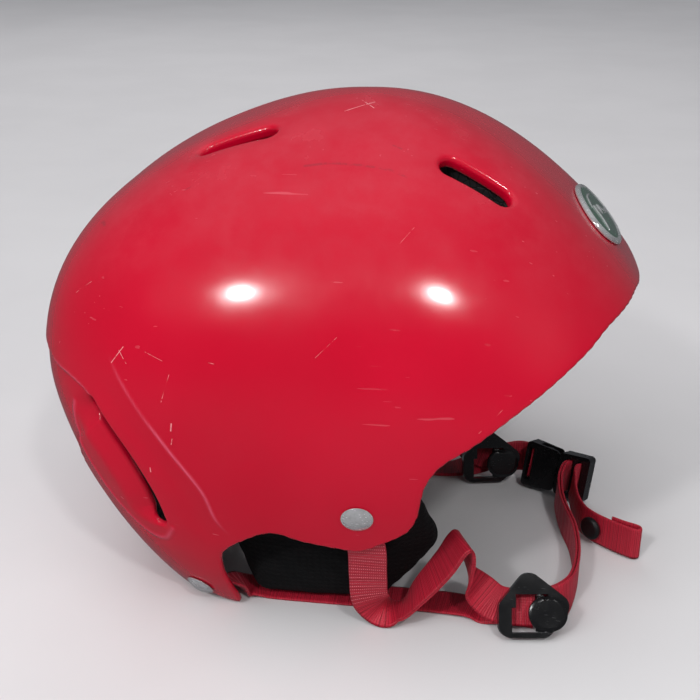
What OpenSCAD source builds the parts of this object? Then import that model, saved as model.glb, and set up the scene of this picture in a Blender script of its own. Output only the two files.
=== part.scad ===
// Ski helmet standing open side down: a moulded hard shell with a foam liner,
// comfort pads, soft ear pads, riveted webbing straps, two strap dividers with
// cam levers and a side-release chin buckle.
// Frame: +X is the front of the helmet, +Y the wearer's left, +Z up.
// The origin lies on the resting plane below the middle of the helmet.

/* [Shell form] */
// Half of the shell's length (mm)
half_length = 130.5; // [129.5:0.5:131.5]
// Half of the shell's width (mm)
half_width = 109; // [108:0.5:110]
// Vertical half size that sets the profile's fullness (mm)
profile_height = 123.5; // [123:0.5:125]
// Power of the plan outline: 2 is an ellipse, larger is squarer
plan_power = 2.8; // [2.7:0.05:2.9]
// Power of the side profile
profile_power = 1.82; // [1.8:0.02:1.86]
// Wall thickness of the hard shell (mm)
shell_wall = 2.4; // [2:0.1:2.6]

/* [Shell edge] */
// Polar angle of the edge at the brow (deg)
brow_edge = 74; // [73:0.5:75]
// Polar angle of the edge at the lowest point of the ear lobe (deg)
lobe_edge = 120; // [119:0.5:121]
// Polar angle of the edge at the notch behind the ear lobe (deg)
notch_edge = 114.5; // [114:0.5:116]

/* [Vents] */
// Width of the four top slots (mm)
slot_width = 9; // [8:0.5:10]
// Width of the rear scoop openings (mm)
scoop_width = 7; // [6:0.5:8]

/* [Liner] */
// Thickness of the foam liner (mm)
liner_wall = 21; // [20:0.5:22]
// Thickness of the comfort pads (mm)
comfort_wall = 5.5; // [4:0.5:6]

/* [Webbing] */
// Webbing width (mm)
web_width = 16; // [15:0.5:17]
// Webbing thickness (mm)
web_thick = 1.4; // [1.2:0.1:1.6]

/* [Fittings] */
// Radius of the rivet caps (mm)
rivet_radius = 6.2; // [5.5:0.1:6.5]
// Length of the badge across the brow (mm)
badge_length = 50; // [40:1:54]
// Height of the badge (mm)
badge_height = 27; // [22:1:30]

/* [Hidden] */

red = [0.72, 0.03, 0.09];
black = [0.02, 0.02, 0.022];
webred = [0.66, 0.05, 0.11];
steel = [0.8, 0.8, 0.82];
foam = [0.06, 0.06, 0.065];

centre_z = 102;

// ---------- shell surface ----------
function dir(az, pol) = [sin(pol)*cos(az), sin(pol)*sin(az), cos(pol)];
function reach(d) = let(
  a = half_length*(1 + 0.06*d[2]),
  b = half_width*(1 - 0.035*d[0]),
  c = profile_height*(1 - 0.15*d[2] - 0.16*d[0] - 0.19*d[0]*d[0] + 0.19*d[0]*d[2]),
  g = pow(pow(abs(d[0]/a), plan_power) + pow(abs(d[1]/b), plan_power) + 0.000000001, profile_power/plan_power)
    + pow(abs(d[2]/c), profile_power))
  pow(g, -1/profile_power);
function surf(az, pol, t = 0) = [0, 0, centre_z] + dir(az, pol)*(reach(dir(az, pol)) - t);
function unit(v) = v/norm(v);
function surf_normal(az, pol) = unit(cross(surf(az, pol + 0.5) - surf(az, pol - 0.5), surf(az + 0.5, pol) - surf(az - 0.5, pol)));

// edge of the shell on one side: [azimuth from the front, polar angle]
edge_side = [[0, brow_edge], [10, 73.2], [19, 72.5], [33, 74], [41, 77], [48, 80.5], [56, 85.5], [63, 91],
  [68, 95], [70.4, 99.5], [71, 104], [71.3, 109], [73, 113.5], [78, 117.5], [83, lobe_edge], [89, 119],
  [96, 117], [102, notch_edge], [108, 116.6], [114.5, 121], [117, 127], [118.3, 134],
  [120, 140.3], [124, 140.2], [130, 138.5], [140, 138], [152, 138], [166, 138], [180, 138]];
ns = len(edge_side);
function edge_at(i) = i < 0 ? [-edge_side[-i][0], edge_side[-i][1]]
  : i > ns - 1 ? [360 - edge_side[2*(ns - 1) - i][0], edge_side[2*(ns - 1) - i][1]] : edge_side[i];
function spline(a, b, c, d, u) = 0.5*(2*b + (c - a)*u + (2*a - 5*b + 4*c - d)*u*u + (3*b - a - 3*c + d)*u*u*u);
sub = 2;
half_edge = [for (i = [0:ns - 2]) for (k = [0:sub - 1]) spline(edge_at(i - 1), edge_at(i), edge_at(i + 1), edge_at(i + 2), k/sub), edge_side[ns - 1]];
nh = len(half_edge);
ring_edge = concat([for (e = half_edge) [-e[0], e[1]]], [for (i = [nh - 2:-1:1]) [half_edge[i][0] - 360, half_edge[i][1]]]);

// ---------- general closed surfaces ----------
module dome(cols, t_out, t_in, rows) {
  m = len(cols);
  pts = concat([surf(0, 0, t_out)],
    [for (i = [1:rows]) for (j = [0:m - 1]) surf(cols[j][0], cols[j][1]*i/rows, t_out)],
    [surf(0, 0, t_in)],
    [for (i = [1:rows]) for (j = [0:m - 1]) surf(cols[j][0], cols[j][1]*i/rows, t_in)]);
  k = 1 + rows*m;
  function o(i, j) = 1 + (i - 1)*m + (j % m);
  function n(i, j) = k + 1 + (i - 1)*m + (j % m);
  polyhedron(pts, concat(
    [for (j = [0:m - 1]) [0, o(1, j), o(1, j + 1)]],
    [for (i = [1:rows - 1]) for (j = [0:m - 1]) [o(i, j), o(i + 1, j), o(i + 1, j + 1)]],
    [for (i = [1:rows - 1]) for (j = [0:m - 1]) [o(i, j), o(i + 1, j + 1), o(i, j + 1)]],
    [for (j = [0:m - 1]) [k, n(1, j + 1), n(1, j)]],
    [for (i = [1:rows - 1]) for (j = [0:m - 1]) [n(i, j), n(i + 1, j + 1), n(i + 1, j)]],
    [for (i = [1:rows - 1]) for (j = [0:m - 1]) [n(i, j), n(i, j + 1), n(i + 1, j + 1)]],
    [for (j = [0:m - 1]) [o(rows, j + 1), o(rows, j), n(rows, j)]],
    [for (j = [0:m - 1]) [o(rows, j + 1), n(rows, j), n(rows, j + 1)]]));
}

// a patch of the surface between two azimuths and two polar angles
module patch(az0, az1, pol0, pol1, t_out, t_in, nu = 12, nv = 6) {
  pts = concat(
    [for (i = [0:nv]) for (j = [0:nu]) surf(az0 + (az1 - az0)*j/nu, pol0 + (pol1 - pol0)*i/nv, t_out)],
    [for (i = [0:nv]) for (j = [0:nu]) surf(az0 + (az1 - az0)*j/nu, pol0 + (pol1 - pol0)*i/nv, t_in)]);
  w = nu + 1;
  h = (nv + 1)*w;
  function o(i, j) = i*w + j;
  function n(i, j) = h + i*w + j;
  polyhedron(pts, concat(
    [for (i = [0:nv - 1]) for (j = [0:nu - 1]) [o(i, j), o(i + 1, j + 1), o(i + 1, j)]],
    [for (i = [0:nv - 1]) for (j = [0:nu - 1]) [o(i, j), o(i, j + 1), o(i + 1, j + 1)]],
    [for (i = [0:nv - 1]) for (j = [0:nu - 1]) [n(i, j), n(i + 1, j), n(i + 1, j + 1)]],
    [for (i = [0:nv - 1]) for (j = [0:nu - 1]) [n(i, j), n(i + 1, j + 1), n(i, j + 1)]],
    [for (j = [0:nu - 1]) [o(0, j + 1), o(0, j), n(0, j)]],
    [for (j = [0:nu - 1]) [o(0, j + 1), n(0, j), n(0, j + 1)]],
    [for (j = [0:nu - 1]) [o(nv, j), o(nv, j + 1), n(nv, j + 1)]],
    [for (j = [0:nu - 1]) [o(nv, j), n(nv, j + 1), n(nv, j)]],
    [for (i = [0:nv - 1]) [o(i, 0), o(i + 1, 0), n(i + 1, 0)]],
    [for (i = [0:nv - 1]) [o(i, 0), n(i + 1, 0), n(i, 0)]],
    [for (i = [0:nv - 1]) [o(i + 1, nu), o(i, nu), n(i, nu)]],
    [for (i = [0:nv - 1]) [o(i + 1, nu), n(i, nu), n(i + 1, nu)]]));
}

module mirror_y() { mirror([0, 1, 0]) children(); }

// place a child with its +Z along v at p
module along(p, v) {
  u = unit(v);
  translate(p) rotate([0, acos(max(-1, min(1, u[2]))), atan2(u[1], u[0])]) children();
}

// ---------- vents ----------
// slot ends as [azimuth, polar angle] on the right side
front_slot = [[-51.5, 36], [-42, 45.5]];
rear_slot = [[-147.5, 37.5], [-134, 27.5]];
scoop_line = [[-134, 90.5], [-129, 98], [-126.5, 106], [-126.5, 112.5]];
module slot_cut(a, b, w, deep) {
  hull() {
    along(surf(a[0], a[1]), surf_normal(a[0], a[1])) cylinder(d = w, h = 2*deep, center = true, $fn = 24);
    along(surf(b[0], b[1]), surf_normal(b[0], b[1])) cylinder(d = w, h = 2*deep, center = true, $fn = 24);
  }
}
module vent_cuts(deep, grow = 0) {
  for (s = [0, 1]) mirror([0, s, 0]) {
    slot_cut(front_slot[0], front_slot[1], slot_width + grow, deep);
    slot_cut(rear_slot[0], rear_slot[1], slot_width + grow, deep);
    for (i = [0:2]) slot_cut(scoop_line[i], scoop_line[i + 1], scoop_width + grow, deep);
  }
}

// ---------- rivet places [azimuth, polar angle] on the right side ----------
ear_rivet_at = [-83.5, 109];
rear_rivet_at = [-128.5, 134.5];
module rivet_hole(at, r) { along(surf(at[0], at[1]), surf_normal(at[0], at[1])) cylinder(r = r, h = 22, center = true, $fn = 24); }
module rivet(at) {
  along(surf(at[0], at[1]), surf_normal(at[0], at[1])) {
    translate([0, 0, 0.3]) intersection() {
      cylinder(r = rivet_radius, h = 3, $fn = 48);
      translate([0, 0, -8.4]) sphere(r = 10.6, $fn = 64);
    }
    translate([0, 0, -7.6]) cylinder(r = 1.8, h = 8.1, $fn = 24);
  }
}
module washer_at(at) {
  along(surf(at[0], at[1]), surf_normal(at[0], at[1]))
    translate([0, 0, -7.4]) difference() {
      cylinder(r = 5.2, h = 0.9, $fn = 36);
      translate([0, 0, -1]) cylinder(r = 1.85, h = 3, $fn = 24);
    }
}

module outer_shell() {
  color(red) difference() {
    dome(ring_edge, 0, shell_wall, 15);
    vent_cuts(9);
    for (s = [0, 1]) mirror([0, s, 0]) {
      rivet_hole(ear_rivet_at, 2.1);
      rivet_hole(rear_rivet_at, 2.1);
    }
  }
}

// ---------- foam and comfort parts ----------
liner_out = shell_wall + 1;
liner_in = liner_out + liner_wall;
pad_out = liner_in + 1.9;
pad_in = pad_out + comfort_wall;
function liner_limit(a) = a < 50 ? 74 : a < 112 ? 96 : a < 133 ? 96 + 6*(a - 112)/21 : a < 137 ? 102 + 31*(a - 133)/4 : 133;
liner_ring = [for (e = ring_edge) let(a = abs(e[0]) > 180 ? 360 - abs(e[0]) : abs(e[0])) [e[0], min(e[1] - 2.5, liner_limit(a))]];
liner_cols = [for (i = [0:2:len(liner_ring) - 1]) liner_ring[i]];

module foam_liner() {
  color(foam) difference() {
    dome(liner_cols, liner_out, liner_in, 10);
    for (s = [0, 1]) mirror([0, s, 0]) {
      slot_cut(front_slot[0], front_slot[1], slot_width + 2, 40);
      slot_cut(rear_slot[0], rear_slot[1], slot_width + 2, 40);
      for (i = [0:1]) slot_cut(scoop_line[i], scoop_line[i + 1], scoop_width + 3, 14);
    }
  }
}
round_cols = [for (j = [0:35]) [-10*j, 27 + 5*pow(cos(10*j), 2)]];
module crown_pad() { color(foam) dome([for (c = round_cols) [c[0], 20]], pad_out, pad_in, 4); }
module brow_pad() { color(foam) patch(-44, 44, 50, 69, pad_out, pad_in, 16, 4); }
module nape_pad() { color(foam) patch(142, 218, 92, 128, pad_out, pad_in, 14, 6); }
module side_pad_left() { color(foam) patch(58, 112, 62, 93, pad_out, pad_in, 10, 5); }
module side_pad_right() { color(foam) mirror_y() patch(58, 112, 62, 93, pad_out, pad_in, 10, 5); }

// ---------- ear pads ----------
// balls of the right pad: [x, y, z, radius]
pad_balls = [[-46, -70, 60, 8], [-32, -79, 60, 7.5], [28, -77.6, 60, 7.5], [36, -62, 36, 7], [15, -61, 9.6, 7.2],
  [-31, -62, 9.8, 7.6], [-36, -66, 32, 7]];
module ear_pad_solid(shift) {
  hull() for (b = pad_balls) translate([b[0] + (b[0] > 0 ? shift : 0), b[1], b[2]]) sphere(r = b[3], $fn = 24);
}
module ear_pad_right() { color(black) ear_pad_solid(0); }
module ear_pad_left() { color(black) mirror_y() ear_pad_solid(0); }
// press studs that hold the ear pads to the shell
module snap_at(x) {
  translate([x, -87, 62]) rotate([90, 0, 0]) {
    cylinder(r = 5, h = 1.6, $fn = 32);
    translate([0, 0, 1.6]) cylinder(r = 2.2, h = 6.4, $fn = 24);
  }
}
module ear_pad_snaps() {
  color(steel) for (s = [0, 1]) mirror([0, s, 0]) { snap_at(-24); snap_at(27); }
}

// ---------- rivets and badge ----------
module ear_rivet_right() { color(steel) rivet(ear_rivet_at); }
module ear_rivet_left() { color(steel) mirror_y() rivet(ear_rivet_at); }
module rear_rivet_right() { color(steel) rivet(rear_rivet_at); }
module rear_rivet_left() { color(steel) mirror_y() rivet(rear_rivet_at); }
module rivet_washers() {
  color(steel) for (s = [0, 1]) mirror([0, s, 0]) { washer_at(ear_rivet_at); washer_at(rear_rivet_at); }
}
badge_polar = 60;
module badge_place() { along(surf(0, badge_polar), surf_normal(0, badge_polar)) children(); }
// the oval follows the shell: a thick oval plug cut by two offset surfaces
module oval_block(l, h) { badge_place() scale([h/l, 1, 1]) cylinder(d = l, h = 40, center = true, $fn = 64); }
module badge_layer(l, h, lo, hi) {
  n = 32;
  rings = 3;
  // points on the shell inside an oval, given as azimuth and polar offsets
  fa = 0.5*l/(reach(dir(0, badge_polar))*sin(badge_polar))*180/PI;
  fp = 0.5*h/reach(dir(0, badge_polar))*180/PI;
  function q(i, j, t) = surf(-fa*i/rings*cos(360*j/n), badge_polar + fp*i/rings*sin(360*j/n), t);
  pts = concat([q(0, 0, -hi)], [for (i = [1:rings]) for (j = [0:n - 1]) q(i, j, -hi + (i == rings ? 0.5*(hi - lo)*0.4 : 0))],
    [q(0, 0, -lo)], [for (i = [1:rings]) for (j = [0:n - 1]) q(i, j, -lo)]);
  k = 1 + rings*n;
  function o(i, j) = 1 + (i - 1)*n + (j % n);
  function m(i, j) = k + 1 + (i - 1)*n + (j % n);
  polyhedron(pts, concat(
    [for (j = [0:n - 1]) [0, o(1, j + 1), o(1, j)]],
    [for (i = [1:rings - 1]) for (j = [0:n - 1]) [o(i, j), o(i + 1, j + 1), o(i + 1, j)]],
    [for (i = [1:rings - 1]) for (j = [0:n - 1]) [o(i, j), o(i, j + 1), o(i + 1, j + 1)]],
    [for (j = [0:n - 1]) [k, m(1, j), m(1, j + 1)]],
    [for (i = [1:rings - 1]) for (j = [0:n - 1]) [m(i, j), m(i + 1, j), m(i + 1, j + 1)]],
    [for (i = [1:rings - 1]) for (j = [0:n - 1]) [m(i, j), m(i + 1, j + 1), m(i, j + 1)]],
    [for (j = [0:n - 1]) [o(rings, j), o(rings, j + 1), m(rings, j + 1)]],
    [for (j = [0:n - 1]) [o(rings, j), m(rings, j + 1), m(rings, j)]]));
}
module badge_bezel() { color(steel) badge_layer(badge_length, badge_height, 0.3, 1.7); }
module front_badge() { color([0.05, 0.22, 0.1]) badge_layer(badge_length - 6, badge_height - 6, 2, 2.9); }

// ---------- webbing ----------
// stations: [centre, width direction]
function mix_at(l, i) = l[max(0, min(len(l) - 1, i))];
function fine(l, n) = [for (i = [0:len(l) - 2]) for (k = [0:n - 1])
    [spline(mix_at(l, i - 1)[0], l[i][0], l[i + 1][0], mix_at(l, i + 2)[0], k/n),
     unit(spline(unit(mix_at(l, i - 1)[1]), unit(l[i][1]), unit(l[i + 1][1]), unit(mix_at(l, i + 2)[1]), k/n))],
    [l[len(l) - 1][0], unit(l[len(l) - 1][1])]];
module ribbon(l, n = 3, wide = web_width, thick = web_thick) {
  f = fine(l, n);
  m = len(f);
  function tan_at(i) = unit(f[min(m - 1, i + 1)][0] - f[max(0, i - 1)][0]);
  function side_at(i) = let(t = tan_at(i), w = f[i][1]) unit(w - t*(t*w));
  function corner(i, k) = let(v = side_at(i), u = cross(tan_at(i), v), h = wide/2, e = thick/2)
    f[i][0] + v*(k == 0 || k == 3 ? -h : h) + u*(k < 2 ? -e : e);
  pts = [for (i = [0:m - 1]) for (k = [0:3]) corner(i, k)];
  polyhedron(pts, concat([[0, 1, 2], [0, 2, 3]],
    // both faces take the same diagonal, so a twist never thins the web
    [for (i = [0:m - 2]) for (k = [0:3]) let(a = 4*i, b = (k + 1) % 4) [a + k, a + 4 + k, k < 2 ? a + 4 + b : a + b]],
    [for (i = [0:m - 2]) for (k = [0:3]) let(a = 4*i, b = (k + 1) % 4) [k < 2 ? a + k : a + 4 + k, a + 4 + b, a + b]],
    [[4*m - 4, 4*m - 2, 4*m - 3], [4*m - 4, 4*m - 1, 4*m - 2]]));
}
strap_in = shell_wall + 1.2 + web_thick/2;
function across(at, run) = unit(cross(surf_normal(at[0], at[1]), run));
front_right = [
  [surf(-83.3, 104.5, strap_in), across([-83.3, 104.5], [0, 0, -1])],
  [surf(ear_rivet_at[0], ear_rivet_at[1], strap_in), across(ear_rivet_at, [0, 0, -1])],
  [surf(-82.8, 115, strap_in), across([-82.8, 115], [0, 0, -1])],
  [[14, -90.3, 45], [1, 0, 0]],
  [[14, -84.5, 29], [1, 0.1, -0.1]],
  [[14.5, -79.5, 14.5], [0.95, 0.3, -0.1]],
  [[18.5, -75, 7], [0.8, 0.6, 0.05]],
  [[26.5, -72.5, 4.4], [0.1, 1, 0]],
  [[34, -74, 15.5], [-0.28, 0.95, 0.05]],
  [[40, -74, 24], [-0.42, 0.9, 0.05]],
  [[45.2, -73.6, 32], [-0.47, 0.87, 0.05]],
  [[49.2, -72.8, 39.4], [-0.49, 0.86, 0.05]],
  [[51.8, -71.2, 40.6], [-0.49, 0.86, 0.1]],
  [[53.2, -70, 36], [-0.45, 0.85, 0.22]],
  [[53.6, -68.8, 28], [-0.35, 0.8, 0.46]],
  [[55.6, -68.2, 20.5], [-0.2, 0.68, 0.7]],
  [[60.5, -69, 14.2], [-0.05, 0.58, 0.81]],
  [[68, -70.2, 9.8], [0, 0.545, 0.838]],
  [[83.5, -69.9, 9.6], [-0.07, 0.54, 0.838]]];
rear_right = [
  [surf(-132, 132.5, strap_in), across([-132, 132.5], [17, 10, -9])],
  [surf(rear_rivet_at[0], rear_rivet_at[1], strap_in), across(rear_rivet_at, [17, 10, -9])],
  [surf(-124.5, 136.5, strap_in), across([-124.5, 136.5], [12, 8, -9])],
  [[-42.5, -61.5, 3.8], [-0.2, -1, 0.22]],
  [[-34.5, -59, 1.6], [0, -1, 0.06]],
  [[-27, -58.5, 0.9], [0, -1, 0]],
  [[5, -58.5, 0.9], [0, -1, 0]],
  [[30, -58.5, 1], [0, -1, 0]],
  [[46, -59.6, 1.5], [0.1, -1, 0.02]],
  [[59.4, -62.4, 2.7], [0.12, -0.98, 0]],
  [[67.5, -66.9, 7.9], [0, -0.6, -0.8]],
  [[82.4, -67.4, 7.6], [0.07, -0.54, -0.838]]];
module strap_with_hole(l, at) {
  color(webred) difference() {
    ribbon(l, 3);
    rivet_hole(at, 2.1);
  }
}
function flip(l) = [for (s = l) [[s[0][0], -s[0][1], s[0][2]], [s[1][0], -s[1][1], s[1][2]]]];
module front_strap_right() { strap_with_hole(front_right, ear_rivet_at); }
module rear_strap_right() { strap_with_hole(rear_right, rear_rivet_at); }
front_left = concat([for (i = [0:12]) front_right[i]], [[[53.2, -69, 35], [-0.45, 0.82, 0.32]], [[50.5, -64.5, 26],
  [-0.4, 0.45, 0.8]], [[49, -60, 18], [-0.25, -0.1, 0.96]], [[52.5, -58.4, 13.6], [-0.04, -0.2, 1]],
  [[60, -57.8, 11], [0, -0.26, 0.97]], [[69, -58.8, 9.8], [-0.05, -0.3, 0.95]]]);
rear_left = concat([for (i = [0:7]) rear_right[i]], [[[43, -59, 1.3], [0.05, -1, 0]], [[53, -61.2, 3.4], [0, -0.94, 0.3]],
  [[61, -62, 8.6], [0, -0.4, 0.92]], [[69, -62.4, 8.8], [-0.05, -0.3, 0.95]]]);
module front_strap_left() { mirror_y() strap_with_hole(front_left, ear_rivet_at); }
module rear_strap_left() { mirror_y() strap_with_hole(rear_left, rear_rivet_at); }

// ---------- strap dividers ----------
// local frame: X towards the buckle, Y across, Z out of the top face
div_thick = 5;
module divider_body() {
  difference() {
    hull() {
      translate([-9.6, -8, 0]) cylinder(r = 5, h = div_thick, $fn = 32);
      translate([3.5, -8.4, 0]) cylinder(r = 4.6, h = div_thick, $fn = 32);
      translate([9.5, -0.5, 0]) cylinder(r = 5, h = div_thick, $fn = 32);
      translate([-1.5, 8, 0]) cylinder(r = 5, h = div_thick, $fn = 32);
      translate([-10.5, -1, 0]) cylinder(r = 4, h = div_thick, $fn = 32);
    }
    // window that shows the webbing and takes the lever's cam
    translate([-9.2, -11, -1]) cube([15.2, 10, div_thick + 2]);
    translate([-7.4, -2, -1]) cube([13.4, 6.4, div_thick + 2]);
    // bore of the lever pin
    translate([2.6, 0, 2.9]) rotate([90, 0, 0]) cylinder(r = 0.85, h = 40, center = true, $fn = 24);
  }
}
module divider_pin() {
  translate([2.6, -2.6, 2.9]) rotate([90, 0, 0]) cylinder(r = 0.8, h = 19, center = true, $fn = 24);
}
// the oval cam lever: closed over the window, opens away from the webbing about the pin
module divider_lever() {
  difference() {
    union() {
      translate([5.4, -3.4, div_thick + 0.35]) hull() {
        translate([-1, 0, 0]) cylinder(r = 7, h = 1.4, $fn = 48);
        translate([1, 0, 0]) cylinder(r = 7, h = 1.4, $fn = 48);
        cylinder(r = 5.6, h = 2.4, $fn = 48);
      }
      translate([2.6, -3.3, 2.9]) rotate([90, 0, 0]) cylinder(r = 1.9, h = 14.6, center = true, $fn = 32);
      translate([1.2, -10.6, 2.9]) cube([2.8, 14.6, 2.7]);
    }
    translate([2.6, 0, 2.9]) rotate([90, 0, 0]) cylinder(r = 0.85, h = 40, center = true, $fn = 24);
  }
}
// places: [position, turn about Z, tilt about X]
div_right = [[81, -70.2, 11.6], 8, 57];
div_left = [[61.5, 54.8, 12.9], 11, 72];
module at_div(d) { translate(d[0]) rotate([d[2], 0, d[1]]) children(); }
module divider_right() { color(black) at_div(div_right) divider_body(); }
module divider_left() { color(black) at_div(div_left) divider_body(); }
module divider_lever_right() { color(black) at_div(div_right) divider_lever(); }
module divider_lever_left() { color(black) at_div(div_left) divider_lever(); }
module lever_pin_right() { color(steel) at_div(div_right) divider_pin(); }
module lever_pin_left() { color(steel) at_div(div_left) divider_pin(); }

// ---------- chin buckle ----------
// local frame: X from the socket to the plug end, Y across, Z up
buckle_pos = [82.8, 55.9, 11.4];
buckle_turn = -29;
buckle_tilt = 75;
bw = 23;
bx = [cos(buckle_turn), sin(buckle_turn), 0];
by = [-sin(buckle_turn)*cos(buckle_tilt), cos(buckle_turn)*cos(buckle_tilt), sin(buckle_tilt)];
bz = cross(bx, by);
function at_local(x, y, z) = buckle_pos + x*bx + y*by + z*bz;
module at_buckle() { translate(buckle_pos) rotate([buckle_tilt, 0, buckle_turn]) children(); }
module socket_body() {
  difference() {
    hull() {
      translate([2, -bw/2 + 2, 0]) cylinder(r = 2, h = 8.4, $fn = 24);
      translate([2, bw/2 - 2, 0]) cylinder(r = 2, h = 8.4, $fn = 24);
      translate([15.4, -bw/2 + 3, 0.6]) cylinder(r = 2, h = 7.2, $fn = 24);
      translate([15.4, bw/2 - 3, 0.6]) cylinder(r = 2, h = 7.2, $fn = 24);
    }
    // open channel for the plug and its prongs
    translate([6.4, -bw/2 - 1, 1.6]) cube([20, bw + 2, 5.2]);
    // webbing slot at the closed end
    translate([1.6, -8.5, -1]) cube([2.8, 17, 12]);
  }
}
module plug_body() {
  difference() {
    union() {
      hull() {
        translate([20.2, -bw/2 + 3, 0]) cylinder(r = 2.2, h = 8.4, $fn = 24);
        translate([20.2, bw/2 - 3, 0]) cylinder(r = 2.2, h = 8.4, $fn = 24);
        translate([32, -bw/2 + 2, 0.6]) cylinder(r = 2, h = 7, $fn = 24);
        translate([32, bw/2 - 2, 0.6]) cylinder(r = 2, h = 7, $fn = 24);
      }
      // guide tongue and the two sprung prongs
      translate([8, -2.6, 2.1]) cube([12, 5.2, 4.2]);
      for (s = [-1, 1]) hull() {
        translate([18.6, s*6.6 - 1.4, 2.1]) cube([1, 2.8, 4.2]);
        translate([9, s*8.8 - 1.4, 2.1]) cube([2.6, 2.8, 4.2]);
      }
    }
    // ladder slots for the adjustable webbing
    translate([21.8, -8.5, -1]) cube([3.8, 17, 12]);
    translate([27.8, -8.5, -1]) cube([2.6, 17, 12]);
  }
}
module buckle_socket() { color(black) at_buckle() socket_body(); }
module buckle_plug() { color(black) at_buckle() plug_body(); }
// short webbing from behind the left divider through the socket's slot
module buckle_strap_left() {
  color(webred) ribbon([[[71, 59.4, 9.8], [0, 0.3, 0.95]], [[77, 61, 10.4], [0.05, 0.25, 0.96]], [at_local(-0.5, 0, -2.6), by],
    [at_local(2.4, 0, -1.6), by], [at_local(3, 0, 1), by], [at_local(3, 0, 7), by]], 3);
}
// doubled chin webbing standing on its edge between the right divider and the plug
module chin_strap() {
  color(webred) ribbon([
    [[85.5, -67.4, 8.8], [-0.07, 0.54, 0.838]],
    [[91.5, -64.5, 8.9], [-0.1, 0.45, 0.88]],
    [[96.6, -56, 8.6], [0, 0.2, 1]],
    [[99.8, -44, 8.4], [0, 0, 1]],
    [[101.5, -29, 8.4], [0, 0, 1]],
    [[100.8, -12, 8.4], [0, 0, 1]],
    [[97.6, 4, 8.6], [0, 0, 1]],
    [[95.8, 16, 9.4], [0, 0, 1]],
    [[95.4, 26, 11.4], [0.05, 0.1, 1]],
    [at_local(23.7, 0, 13), by],
    [at_local(23.7, 0, 8.6), by],
    [at_local(23.7, 0, 1), by]], 2, web_width, 2.4);
}
// free end of the adjustable webbing with its folded finger loop
module strap_tail() {
  color(webred) {
    ribbon([
      [at_local(29.1, 0, 1), by],
      [at_local(29.1, 0, 8.6), by],
      [at_local(29.3, 0, 13), by],
      [[102.2, 24, 11.8], [0.05, 0.1, 1]],
      [[103.4, 14, 9.8], [0, 0, 1]],
      [[106.3, 5.5, 8.6], [0, 0, 1]],
      [[111, -0.8, 8.4], [0, 0, 1]],
      [[117, -5.8, 8.4], [0, 0, 1]],
      [[123, -10, 8.4], [0, 0, 1]],
      [[128.5, -13, 8.4], [0, 0, 1]],
      [[131, -11.4, 8.4], [0, 0, 1]],
      [[129.6, -8.9, 8.4], [0, 0, 1]],
      [[124, -6.4, 8.4], [0, 0, 1]],
      [[118.5, -3, 8.4], [0, 0, 1]]], 2);
  }
}
module tail_button() {
  color(black) translate([110.4, -1.4, 9]) rotate([90, 0, -44]) {
    translate([0, 0, 1.1]) cylinder(r = 5.4, h = 1.6, $fn = 40);
    translate([0, 0, 2.7]) cylinder(r1 = 5.4, r2 = 4.2, h = 0.9, $fn = 40);
  }
}

outer_shell();
foam_liner();
crown_pad();
brow_pad();
nape_pad();
side_pad_right();
side_pad_left();
ear_pad_right();
ear_pad_left();
ear_pad_snaps();
ear_rivet_right();
ear_rivet_left();
rear_rivet_right();
rear_rivet_left();
rivet_washers();
front_badge();
badge_bezel();
front_strap_right();
rear_strap_right();
front_strap_left();
rear_strap_left();
divider_right();
divider_lever_right();
divider_left();
divider_lever_left();
lever_pin_right();
lever_pin_left();
buckle_strap_left();
buckle_socket();
buckle_plug();
chin_strap();
strap_tail();
tail_button();
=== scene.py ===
import bpy
import math
import numpy as np
from mathutils import Vector, Matrix
from mathutils.geometry import delaunay_2d_cdt
from mathutils.kdtree import KDTree


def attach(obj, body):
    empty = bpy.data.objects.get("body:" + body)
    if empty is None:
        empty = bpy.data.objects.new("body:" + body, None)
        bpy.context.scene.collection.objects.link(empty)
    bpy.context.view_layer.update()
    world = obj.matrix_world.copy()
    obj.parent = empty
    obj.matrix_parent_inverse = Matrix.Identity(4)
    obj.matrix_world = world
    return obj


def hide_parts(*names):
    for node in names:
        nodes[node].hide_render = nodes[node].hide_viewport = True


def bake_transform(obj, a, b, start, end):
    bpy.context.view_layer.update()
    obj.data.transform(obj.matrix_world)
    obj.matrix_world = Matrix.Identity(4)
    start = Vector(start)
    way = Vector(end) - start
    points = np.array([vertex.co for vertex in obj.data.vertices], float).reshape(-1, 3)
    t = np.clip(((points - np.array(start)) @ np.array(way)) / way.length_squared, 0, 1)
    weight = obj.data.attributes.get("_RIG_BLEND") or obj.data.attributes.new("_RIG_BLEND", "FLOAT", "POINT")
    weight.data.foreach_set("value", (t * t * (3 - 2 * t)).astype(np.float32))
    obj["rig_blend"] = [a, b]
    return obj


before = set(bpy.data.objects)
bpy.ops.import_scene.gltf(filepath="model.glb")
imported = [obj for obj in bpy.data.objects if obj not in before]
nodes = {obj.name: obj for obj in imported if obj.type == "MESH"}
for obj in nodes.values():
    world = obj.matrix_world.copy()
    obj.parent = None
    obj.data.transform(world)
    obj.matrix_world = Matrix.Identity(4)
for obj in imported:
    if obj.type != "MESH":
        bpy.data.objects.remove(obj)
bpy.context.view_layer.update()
MM = 0.001
D2R = math.pi / 180

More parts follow.
